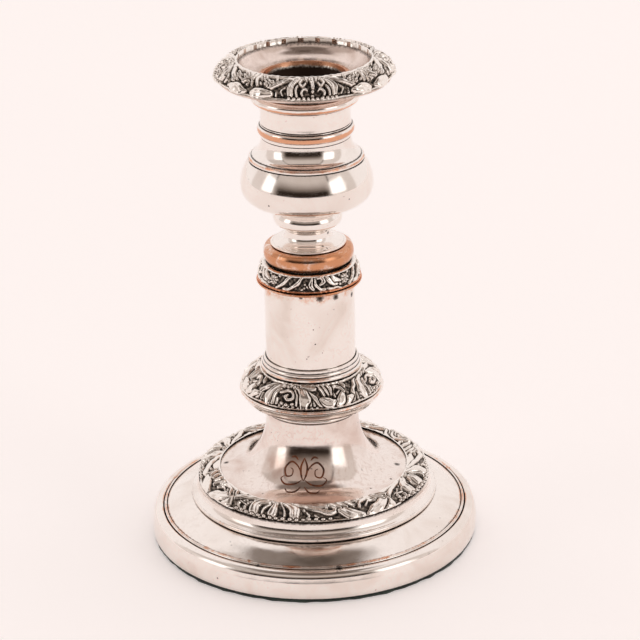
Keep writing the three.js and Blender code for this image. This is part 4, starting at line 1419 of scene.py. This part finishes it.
                for offset, proud in ((-1, 0.015), (0, 0.05), (1, 0.015), (0, -0.15)):
                    lifted = (height + side[1] * offset * up_the_slope) / tall
                    share = along[-1] * (foot + share_of_slope * lifted)
                    r = float(np.interp(share, along, face[:, 0]))
                    z = float(np.interp(share, along, face[:, 1]))
                    a = math.radians(lean + turn * spread) + side[0] * offset / r
                    out = r + proud * 0.6
                    points.append((out * math.sin(a), -out * math.cos(a), z + proud * 0.8))
            start = len(points) - 4 * count
            for a in range(start, len(points) - 4, 4):
                faces += [(a + j, a + 4 + j, a + 4 + (j + 1) % 4, a + (j + 1) % 4) for j in range(4)]
            end = len(points) - 4
            faces += [tuple(range(start, start + 4)), tuple(range(end + 3, end - 1, -1))]
        piece = self.shop.raw("engraved_flourish", np.array(points), [], faces)
        if signed_volume(piece.data) < 0:
            piece.data.flip_normals()
        piece.data.materials.append(self.finishes.engraving)
        self.shop.hand_over(piece, self.body, Slot.COPPER)


@dataclass
class Column(SubAssembly):
    """The knop, the plain column with its mouldings, and what closes the column inside."""

    wall: float = 0.8  # thickness of the tube

    def build(self) -> None:
        """Makes the pieces from the pedestal's neck up."""
        self.make_knop()
        self.make_shaft()
        self.cast_borders()

    def make_knop(self) -> None:
        """The wire, the dished underside and the rim of the knop."""
        f = self.finishes
        column = Span.of("column_tube").reach
        s = Span.of("pedestal_astragal")
        seat = column + JOINT
        self.turned("pedestal_astragal", bead_outline(seat, s.reach, s.foot, s.top), f.plate,
                    dark=((seat + 0.4, s.foot, 0.5, 0.6),))
        s = Span.of("knop_pan")
        self.turned("knop_pan", [
            (seat, s.foot), (seat + 1.2, s.foot, 0.5),
            *sweep((seat + 2.2, s.foot + 0.5), (s.reach - 0.4, s.top - 0.9),
                   (s.reach - 2.0, s.foot + 1.2), 12),
            (s.reach, s.top, 0.2), (s.reach - 1.0, s.top), (seat + 3, s.foot + 2.3, 1.5),
            (seat, s.foot + 0.8),
        ], f.plate, dark=((seat + 0.6, s.foot + 0.2, 0.8, 0.6),))
        s = Span.of("knop_rim")
        self.turned("knop_rim", bead_outline(s.reach - 1.4, s.reach, s.foot, s.top), f.plate, Slot.COPPER,
                    worn=((s.reach, (s.foot + s.top) / 2, 0.9, 0.45),))

    def make_shaft(self) -> None:
        """The column, its base ring, top rim and inner fittings."""
        f = self.finishes
        tube = Span.of("column_tube")
        out, bore, seat = tube.reach, tube.reach - self.wall, tube.reach + JOINT
        collar = Span.of("column_top_rim").foot
        s = Span.of("column_base_ring")
        r = s.reach
        self.turned("column_base_ring", [
            (seat, s.foot), (r, s.foot, 0.25), (r, s.foot + 1.0, 0.35), (r - 0.7, s.foot + 1.35, 0.15),
            (r - 0.55, s.foot + 2.0, 0.3), (r - 0.75, s.foot + 2.5, 0.3), (seat + 0.55, s.foot + 2.8, 0.2),
            (seat + 0.5, s.top, 0.3), (seat, s.top),
        ], f.plate, worn=((r, s.foot + 0.6, 0.7, 0.5), (r - 0.6, s.foot + 2.1, 0.45, 0.4)),
            dark=((r - 0.7, s.foot + 1.4, 0.3, 0.8), (seat + 0.6, s.foot + 2.8, 0.3, 0.7)))
        self.turned("column_tube", [
            (bore, tube.foot), (out, tube.foot), (out, tube.top, 0.2), (bore, tube.top, 0.2),
        ], f.shaft_plate, sides=160, worn=((out, s.top + 1.2, 2.2, 0.25), (out, collar - 1.2, 3.4, 0.5)),
            dark=((out, s.top, 0.5, 0.6), (out, collar, 1.0, 0.45)))
        s = Span.of("column_end_cap")
        self.turned("column_end_cap", [
            (0, s.foot), (s.reach, s.foot, 0.2), (s.reach, s.top, 0.2), (0, s.top),
        ], f.lining, Slot.COPPER)
        s, bore = Span.of("column_neck_ring"), Span.of("middle_tube").reach + PLAY
        self.turned("column_neck_ring", [
            (bore, s.foot, 0.15), (s.reach, s.foot), (s.reach, s.top), (bore, s.top, 0.15),
        ], f.lining, Slot.COPPER)
        s = Span.of("column_top_rim")
        r = s.reach
        self.turned("column_top_rim", [
            (seat, s.foot), (r - 0.9, s.foot, 0.3), (r, s.foot + 0.55, 0.4), (r, s.top, 0.3), (seat, s.top),
        ], f.worn_wire, Slot.COPPER)

    def cast_borders(self) -> None:
        """The borders on the knop and at the top of the column."""
        seat = Span.of("column_tube").reach + JOINT
        s = Span.of("knop_border")
        inn = seat + 1.7
        CastBorder(
            "knop_border", ((s.reach, s.foot + 0.5), (s.reach - 1.1, s.foot + 4.2), (inn + 3.0, s.top - 0.8),
                            (inn, s.top - 0.05)),
            [(seat, s.top - 0.05), (seat, s.top - 0.9), (inn, s.top - 1.3), (s.reach - 4.2, s.foot + 2.6),
             (s.reach - 1.7, s.foot), (s.reach - 1.0, s.foot)],
            -23, 0.18, 1.2, knop_motif, ((0, 22), (45, 18)), 0.5, 0.35,
        ).build(self.shop, self.finishes.cast, self.body)
        s, mouth = Span.of("column_top_border"), Span.of("middle_tube").reach + 1.0
        CastBorder(
            "column_top_border", ((s.reach, s.foot + 0.3), (s.reach - 0.2, s.foot + 3.0),
                                  (seat + 1.1, s.top - 0.4), (seat + 0.2, s.top - 0.05)),
            [(mouth, s.top - 0.05), (mouth, s.top - 0.85), (seat, s.top - 1.1), (seat, s.foot),
             (s.reach - 1.0, s.foot)],
            0, 0.16, 0.9, collar_motif, edge_wear=0.85,
        ).build(self.shop, self.finishes.cast, self.body)


def spring_collar(shop: Workshop, finish: bpy.types.Material, node: str, body: Body, fingers: int = 8,
                  slit: float = 1.1, slit_length: float = 13.0, wall: float = 0.65) -> bpy.types.Object:
    """A sprung ring whose lower part is slit into fingers.

    Args:
        shop: The workshop.
        finish: Its material.
        node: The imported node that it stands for.
        body: The body that it rides on.
        fingers: Number of fingers.
        slit: Width of a slit.
        slit_length: Length of a slit.
        wall: Thickness of the strip.

    Returns:
        The piece.
    """
    s = Span.of(node)
    out, steps = s.reach, 14
    half = math.pi / fingers
    gap = slit / 2 / out
    angles = np.concatenate([[-half], np.linspace(-half + gap, half - gap, steps - 1), [half]])
    levels = [s.foot, s.foot + 0.5, s.foot + slit_length, s.foot + slit_length + 0.5, s.top]
    grid: dict[tuple[int, int, int], int] = {}
    points: list[Point] = []
    for side, radius in enumerate((out - wall, out)):
        for j, level in enumerate(levels):
            lift = 0.12 if side and j == 0 else 0.0
            for i, a in enumerate(angles):
                grid[side, j, i] = len(points)
                points.append(((radius - lift) * math.cos(a), (radius - lift) * math.sin(a), level))

    def solid(j: int, i: int) -> bool:
        """Whether the strip has metal in this cell."""
        return 0 <= j < len(levels) - 1 and (j >= 2 or 0 < i < len(angles) - 2)

    faces = []
    for j in range(len(levels) - 1):
        for i in range(len(angles) - 1):
            if not solid(j, i):
                continue
            ring = [(j, i), (j, i + 1), (j + 1, i + 1), (j + 1, i)]
            inner, outer = ([grid[side, row, column] for row, column in ring] for side in (0, 1))
            faces += [outer, inner[::-1]]
            # A wall closes the strip next to a gap, but not where the next finger's strip joins on.
            for k, (row, column) in enumerate(((j - 1, i), (j, i + 1), (j + 1, i), (j, i - 1))):
                if 0 <= column < len(angles) - 1 and not solid(row, column):
                    after = (k + 1) % 4
                    faces.append([inner[k], inner[after], outer[after], outer[k]])
    piece = shop.raw(node + "_slit", np.array(points), [], faces)
    shop.repeat(piece, fingers, finish, 40)
    return shop.hand_over(piece, body, Slot.BRASS, node)


@dataclass
class Draw(SubAssembly):
    """A part of the stick that slides on a thin tube with a sprung foot."""

    wall: float = 0.6  # thickness of the tube

    def make_tube(self, tube: str, collar: str) -> None:
        """The tube, and the collar at its foot that grips the bore round it.

        Args:
            tube: The tube's node.
            collar: The collar's node.
        """
        s = Span.of(tube)
        self.turned(tube, [
            (s.reach - self.wall, s.foot, 0.15), (s.reach, s.foot, 0.15), (s.reach, s.top),
            (s.reach - self.wall, s.top),
        ], self.finishes.draw_plate, sides=128)
        spring_collar(self.shop, self.finishes.brass, collar, self.body)


@dataclass
class MiddleDraw(Draw):
    """The first tube that slides up out of the column, with its sprung foot and worn top bead."""

    def build(self) -> None:
        """Makes the tube, the collar and the bead."""
        self.make_tube("middle_tube", "middle_spring_collar")
        s, ring = Span.of("middle_tube"), Span.of("middle_ring")
        bore, spigot = Span.of("inner_tube").reach + PLAY, s.reach - 0.9
        foot, out, round_part = s.top + JOINT, ring.reach, 1.75
        middle, half = (foot + ring.top) / 2, (ring.top - foot) / 2
        crown = [(out - round_part + round_part * math.cos(a), middle + half * math.sin(a))
                 for a in np.linspace(-0.48 * math.pi, 0.48 * math.pi, 18)]
        self.turned("middle_ring", [
            (bore, ring.foot), (spigot, ring.foot), (spigot, foot), *crown, (bore, ring.top),
        ], self.finishes.worn_wire, Slot.COPPER,
            dark=((out - 1.5, foot, 0.8, 0.7), (bore + 1.0, ring.top, 1.0, 0.5)))


@dataclass
class SocketDraw(Draw):
    """The inner tube and the baluster socket that it carries."""

    stem: float = 8.0  # radius of the waist between the foot and the cup

    def build(self) -> None:
        """Makes the pieces from the inner tube up."""
        self.make_tube("inner_tube", "inner_spring_collar")
        self.make_stem()
        self.make_bowl()
        self.make_mouth()

    def make_stem(self) -> None:
        """The spread foot and the cup under the bowl."""
        f = self.finishes
        s, tube, stem = Span.of("socket_foot"), Span.of("inner_tube"), self.stem
        spigot, level, r = tube.reach - 0.9, tube.top + JOINT, s.reach
        self.turned("socket_foot", [
            (spigot - 1, s.foot), (spigot, s.foot), (spigot, level), (r, level, 0.15), (r, level + 0.45, 0.2),
            *sweep((r - 0.9, level + 0.75), (stem, level + 3.4), (stem + 0.4, level + 0.9), 14),
            *sweep((stem, s.top - 1.4), (stem + 0.7, s.top), (stem + 0.05, s.top - 0.5), 5),
            (0, s.top), (0, s.top - 0.8), (stem - 1, s.top - 0.8, 0.3), (stem - 0.6, level + 1.8, 0.4),
            (spigot - 1, level + 0.2, 0.2),
        ], f.bowl_plate, worn=((r, level + 0.4, 0.6, 0.4),), dark=((r - 0.8, level + 0.7, 0.35, 0.4),))
        s = Span.of("socket_cup")
        r, lip = s.reach, s.reach - 2.4
        # The dark ring at the cup's lip, under the bowl, is painted shade and a painted dark reflection.
        self.turned("socket_cup", [
            (0, s.foot), *sweep((stem + 0.75, s.foot), (r - 0.5, s.foot + 2.6), (r - 0.7, s.foot + 0.5), 10),
            *sweep((r - 0.5, s.foot + 2.6), (lip, s.top - 0.2), (r - 0.2, s.foot + 4.6), 12)[1:],
            (lip, s.top), (lip - 0.8, s.top), (stem, s.foot + 2.4, 0.6), (0, s.foot + 0.8),
        ], f.bowl_plate, dark=((lip, s.top, 1.1, 0.9),))

    def make_bowl(self) -> None:
        """The bowl and the hollow shoulder above it."""
        f = self.finishes
        s, cup, shoulder = Span.of("socket_bowl"), Span.of("socket_cup").reach, Span.of("socket_shoulder")
        r, widest = s.reach, s.foot + 0.5 * s.height
        edge = shoulder.reach
        # The dark ring round the bowl's foot, over the cup, is painted shade.
        self.turned("socket_bowl", [
            (0, s.foot), (cup + 0.1, s.foot, 0.15), (cup + 0.4, s.foot + 0.55, 0.3),
            *sweep((cup + 1.4, s.foot + 0.75), (r, widest), (r + 0.1, s.foot + 1.6), 24),
            *sweep((r, widest), (edge + 0.2, s.top), (r + 0.1, widest + 3.8), 16)[1:],
            (edge - 0.5, s.top), (r - 1.6, widest + 3.2, 2.0), (r - 1.2, widest - 3, 3.0),
            (cup + 3.0, s.foot + 2.2, 2.0), (cup - 1, s.foot + 0.8), (0, s.foot + 0.8),
        ], f.bowl_plate, sides=160, worn=((cup + 0.4, s.foot + 0.5, 0.5, 0.35),),
            dark=((cup + 1.2, s.foot + 0.7, 0.6, 0.5), (edge, s.top, 0.5, 0.5)))
        s, neck = shoulder, Span.of("socket_neck").reach - 0.7
        self.turned("socket_shoulder", [
            (edge - 0.8, s.foot), (edge, s.foot, 0.1), (edge, s.foot + 0.9, 0.35),
            (edge - 0.9, s.foot + 1.3, 0.25),
            *sweep((edge - 1.2, s.foot + 1.7), (neck, s.top), (neck + 0.4, s.foot + 3.0), 12),
            (neck - 0.6, s.top), (neck + 0.5, s.foot + 3, 1.0),
        ], f.plate, worn=((edge, s.foot + 0.8, 0.8, 0.55),), dark=((edge - 1.0, s.foot + 1.4, 0.45, 0.7),))

    def make_mouth(self) -> None:
        """The bead, the neck, the lip and the cup that holds the candle."""
        f = self.finishes
        s = Span.of("socket_bead")
        inner = Span.of("socket_neck").reach - 1.3
        third = s.height / 3
        self.turned("socket_bead", [
            (inner, s.foot), (s.reach - 1.0, s.foot, 0.15), (s.reach - 0.75, s.foot + 0.8 * third, 0.35),
            (s.reach - 0.15, s.foot + 1.05 * third, 0.3), (s.reach, s.foot + 1.8 * third, 0.6),
            (s.reach - 0.3, s.foot + 2.5 * third, 0.4), (s.reach - 0.95, s.foot + 2.7 * third, 0.25),
            (s.reach - 1.0, s.top, 0.2), (inner, s.top),
        ], f.plate, Slot.COPPER, worn=((s.reach, s.foot + 1.5 * third, 1.3, 0.85),),
            dark=((s.reach - 0.85, s.foot + 2.7 * third, 0.35, 0.8),
                  (s.reach - 0.8, s.foot + 0.9 * third, 0.35, 0.7)))
        s = Span.of("socket_neck")
        r = s.reach - 0.7
        self.turned("socket_neck", [
            (inner, s.foot), (r + 0.25, s.foot, 0.2),
            *sweep((r + 0.1, s.foot + 0.8), (s.reach, s.top), (r - 0.35, s.foot + 4.6), 12),
            (inner, s.top),
        ], f.plate, worn=((s.reach, s.top, 0.9, 0.4),), dark=((s.reach, s.top, 0.4, 0.5),))
        s, cup = Span.of("socket_rim"), Span.of("candle_cup")
        seat, out = cup.reach + JOINT, s.reach
        self.turned("socket_rim", [
            (inner + 0.8, s.foot), (inner + 1.9, s.foot, 0.2), (out - 0.5, s.foot + 0.8, 0.6),
            (out, s.foot + 1.9, 0.9), (out - 0.4, s.foot + 3.0, 0.7), (out - 1.4, s.top, 0.6),
            (seat, s.top), (seat, s.top - 0.8), (inner + 1.4, s.top - 0.8, 0.3),
        ], f.plate, worn=((out - 0.5, s.foot + 0.8, 1.1, 0.85),), dark=((inner + 1.9, s.foot, 0.4, 0.5),))
        bore, floor = cup.reach - self.wall, cup.foot + self.wall
        self.turned("candle_cup", [
            (0, cup.foot), (cup.reach, cup.foot, 0.4), (cup.reach, cup.top, 0.2), (bore, cup.top, 0.2),
            (bore, floor, 0.4), (0, floor),
        ], f.lining)


@dataclass
class Nozzle(SubAssembly):
    """The loose nozzle: a sleeve, a dished pan and a cast border."""

    fall: float = 0.62  # how far the brim falls for each millimetre outwards
    wall: float = 0.6  # thickness of the sleeve
    border_width: float = 8.5

    def build(self) -> None:
        """Makes the three pieces."""
        f = self.finishes
        s, cup = Span.of("nozzle_sleeve"), Span.of("candle_cup")
        sleeve, level = cup.reach - 0.9, cup.top + JOINT
        bore, flare, shoulder = sleeve - self.wall, s.reach, cup.reach + 0.5
        # Close rings of painted shade darken the inside of the sleeve and of its flare, so that the hole
        # reads dark.
        self.turned("nozzle_sleeve", [
            (bore, s.foot, 0.1), (sleeve, s.foot, 0.1), (sleeve, level), (shoulder, level),
            *sweep((shoulder + 0.1, level + 0.4), (flare, s.top - 0.15), (flare - 0.3, level + 1.6), 10),
            (flare - 0.5, s.top, 0.15), *sweep((flare - 0.9, level + 3.6), (bore, level - 0.8),
                                               (bore + 0.3, level + 1.2), 8),
        ], f.draw_plate, worn=((flare - 0.4, s.top, 1.9, 1.0),),
            dark=(*((bore - 0.1, s.foot + 0.5 * i, 0.6, 1.0) for i in range(int(2 * s.height - 6))),
                  (flare - 1.8, s.top - 3.4, 2.5, 1.0)))
        s = Span.of("nozzle_pan")
        lip = Span.of("nozzle_sleeve").reach - 0.6
        dish, brim = Span.of("nozzle_border").reach - self.border_width - 0.1, s.reach
        edge = s.top
        drop = self.fall * (brim - dish)
        self.turned("nozzle_pan", [
            (lip, s.foot + 0.55, 0.2), (lip + 0.9, s.foot + 0.45, 0.4),
            *sweep((lip + 1.6, s.foot + 0.6), (dish - 0.2, edge - 0.2), (dish - 2.0, s.foot + 1.2), 14),
            (dish + 0.9, edge - 0.6, 0.4), (brim, edge - 0.7 - drop, 0.2),
            (brim - 0.4, edge - 1.3 - drop), (dish, edge - 1.3, 0.6),
            (lip + 4.2, s.foot + 0.75, 1.2), (lip + 0.1, s.foot),
        ], f.dish_plate, sides=160, worn=((lip + 0.5, s.foot + 0.5, 1.5, 1.0),),
            dark=((dish, edge - 0.3, 1.2, 0.6), (lip + 1.4, s.foot + 0.5, 0.5, 0.5)))
        s = Span.of("nozzle_border")
        out, inn, top = s.reach, s.reach - self.border_width, s.top
        foot = s.foot + 0.35
        CastBorder(
            "nozzle_border",
            ((out, foot), (out - 0.2, foot + 3.6), (out - 5.0, top + 0.25), (inn, top - 0.5)),
            [(inn - 0.05, top - 2.9), (inn + 1.0, top - 3.1),
             (out - 1.3, top - 3.2 - self.fall * (out - inn - 2.3)), (out - 0.85, foot - 0.1)],
            5, 0.2, 1.45, nozzle_motif, ((0, 15), (35.5, 6.5), (-35.5, 6.5)), 1.15,
        ).build(self.shop, f.cast, self.body)


# ---------------------------------------------------------------- studio


@dataclass(frozen=True)
class Panel:
    """A soft-edged patch of light or dark in the room round the stick, in degrees."""

    azimuth: float  # from the front (-Y) towards +X
    elevation: float
    half_width: float
    half_height: float
    softness: float
    colour: str
    strength: float


@dataclass
class Studio:
    """The camera, the pale room and the floor."""

    distance: float = 796.6  # from the axis to the lens, in millimetres
    height: float = 415.7
    tilt: float = 22.79  # degrees below the level, as the next two are degrees too
    roll: float = -1.21
    heading: float = -0.25
    lens: float = 137.87  # focal length, in millimetres
    floor_size: float = 9000.0
    room: str = "fdf7f5"
    room_strength: float = 1.02
    floor_glow: float = 0.33

    def build(self) -> None:
        """Makes the camera, the room and the floor."""
        self.set_camera()
        self.light_room()
        self.lay_floor()
        bpy.context.scene.view_settings.view_transform = "Standard"

    def set_camera(self) -> None:
        """A long lens that looks down at the stick."""
        data = bpy.data.cameras.new("camera")
        data.lens = self.lens
        data.sensor_width = 36
        data.clip_start = 0.05
        data.clip_end = 50
        camera = bpy.data.objects.new("camera", data)
        aim = (Matrix.Rotation(math.radians(self.heading), 4, "Z")
               @ Matrix.Rotation(math.radians(90 - self.tilt), 4, "X")
               @ Matrix.Rotation(math.radians(self.roll), 4, "Z"))
        camera.matrix_world = Matrix.Translation((0, -self.distance * MM, self.height * MM)) @ aim
        bpy.context.scene.collection.objects.link(camera)
        bpy.context.scene.camera = camera

    def light_room(self) -> None:
        """A white tent with an open front: the dark room behind the lens between two bright boxes."""
        panels = [
            Panel(0, 90, 180, 21, 5, "80756e", 1.0),
            Panel(-95, 72, 50, 10, 4, "8a7f78", 1.0),
            Panel(-12, 75, 62, 17, 2.5, "786d66", 1.0),
            Panel(0, 90, 180, 8, 4, "5e544d", 1.0),
            Panel(-88, 44, 22, 18, 3, "cfc5bf", 1.0),
            Panel(68, 27, 24, 31, 3, "e0d6d0", 1.0),
            Panel(-86, 14, 24, 18, 3, "e6dcd7", 1.0),
            Panel(-10, 26, 54, 33, 2, "4a4039", 1.0),
            Panel(-10, 24, 51, 32, 2, "d0c5be", 1.0),
            Panel(-10, 8, 48, 19, 10, "82766e", 1.0),
            Panel(-8, 2, 46, 14, 6, "2e251f", 1.0),
            Panel(56, 17, 14, 14, 4, "fffdfb", 1.7),
            Panel(-73, 16, 11, 14, 3, "fffdfb", 1.6),
        ]
        world = bpy.data.worlds.new("studio")
        world.use_nodes = True
        bpy.context.scene.world = world
        world.node_tree.nodes.clear()
        add = partial(add_node, world.node_tree)
        way = add("ShaderNodeTexCoord", out="Generated")
        x, y, z = (add("ShaderNodeSeparateXYZ", (way,), axis) for axis in "XYZ")
        azimuth = add(MATH, (x, add(MATH, (y, -1.0), operation="MULTIPLY")), operation="ARCTAN2")
        elevation = add(MATH, (z,), operation="ARCSINE")
        colour: object = glowing(self.room, self.room_strength)
        for panel in panels:
            off = add(MATH, (azimuth, math.radians(panel.azimuth)), operation="SUBTRACT")
            off = add(MATH, (off, math.pi, -math.pi), operation="WRAP")
            up = add(MATH, (elevation, math.radians(panel.elevation)), operation="SUBTRACT")
            mask: object = 1.0
            for gap, half in ((off, panel.half_width), (up, panel.half_height)):
                inner = math.radians(max(0.0, half - panel.softness))
                outer = math.radians(half + panel.softness)
                edge = add(RAMP, (add(MATH, (gap,), operation="ABSOLUTE"), inner, outer, 1.0, 0.0), **SMOOTH)
                mask = add(MATH, (mask, edge), operation="MULTIPLY")
            tone = glowing(panel.colour, panel.strength)
            colour = add(MIX, {"Factor": mask, 6: colour, 7: tone}, 2, data_type="RGBA")
        light = add("ShaderNodeBackground", {"Color": colour, "Strength": 1.0})
        add("ShaderNodeOutputWorld", {"Surface": light})

    def lay_floor(self) -> None:
        """A wide pale floor."""
        half = self.floor_size / 2
        corners = np.array([(-half, -half, 0), (half, -half, 0), (half, half, 0), (-half, half, 0)], float)
        floor = Workshop.raw("floor", corners, [], [(0, 1, 2, 3)])
        w = Weave("pale_paper")
        cloud = w.add(NOISE, {"Vector": w.place, "Scale": per_mm(600), "Detail": 2})
        tone = w.add(RAMP, (cloud, 0.3, 0.7), **SMOOTH)
        floor.data.materials.append(w.close(
            Base_Color=w.layered("f8f3f2", (tone, "faf5f4")), Roughness=0.9,
            Emission_Color=linear("fdf7f6"), Emission_Strength=self.floor_glow,
        ))


def main() -> None:
    """Builds the studio and the stick."""
    logging.basicConfig(level=logging.INFO, format="%(name)s %(message)s")
    Studio().build()
    shop, finishes = Workshop(), Finishes()
    LoadedBase(shop, finishes, Body.BASE).build()
    Column(shop, finishes, Body.BASE).build()
    MiddleDraw(shop, finishes, Body.MIDDLE).build()
    SocketDraw(shop, finishes, Body.SOCKET).build()
    Nozzle(shop, finishes, Body.NOZZLE).build()
    logger.info("sizes written")


if __name__ == "__main__":
    main()
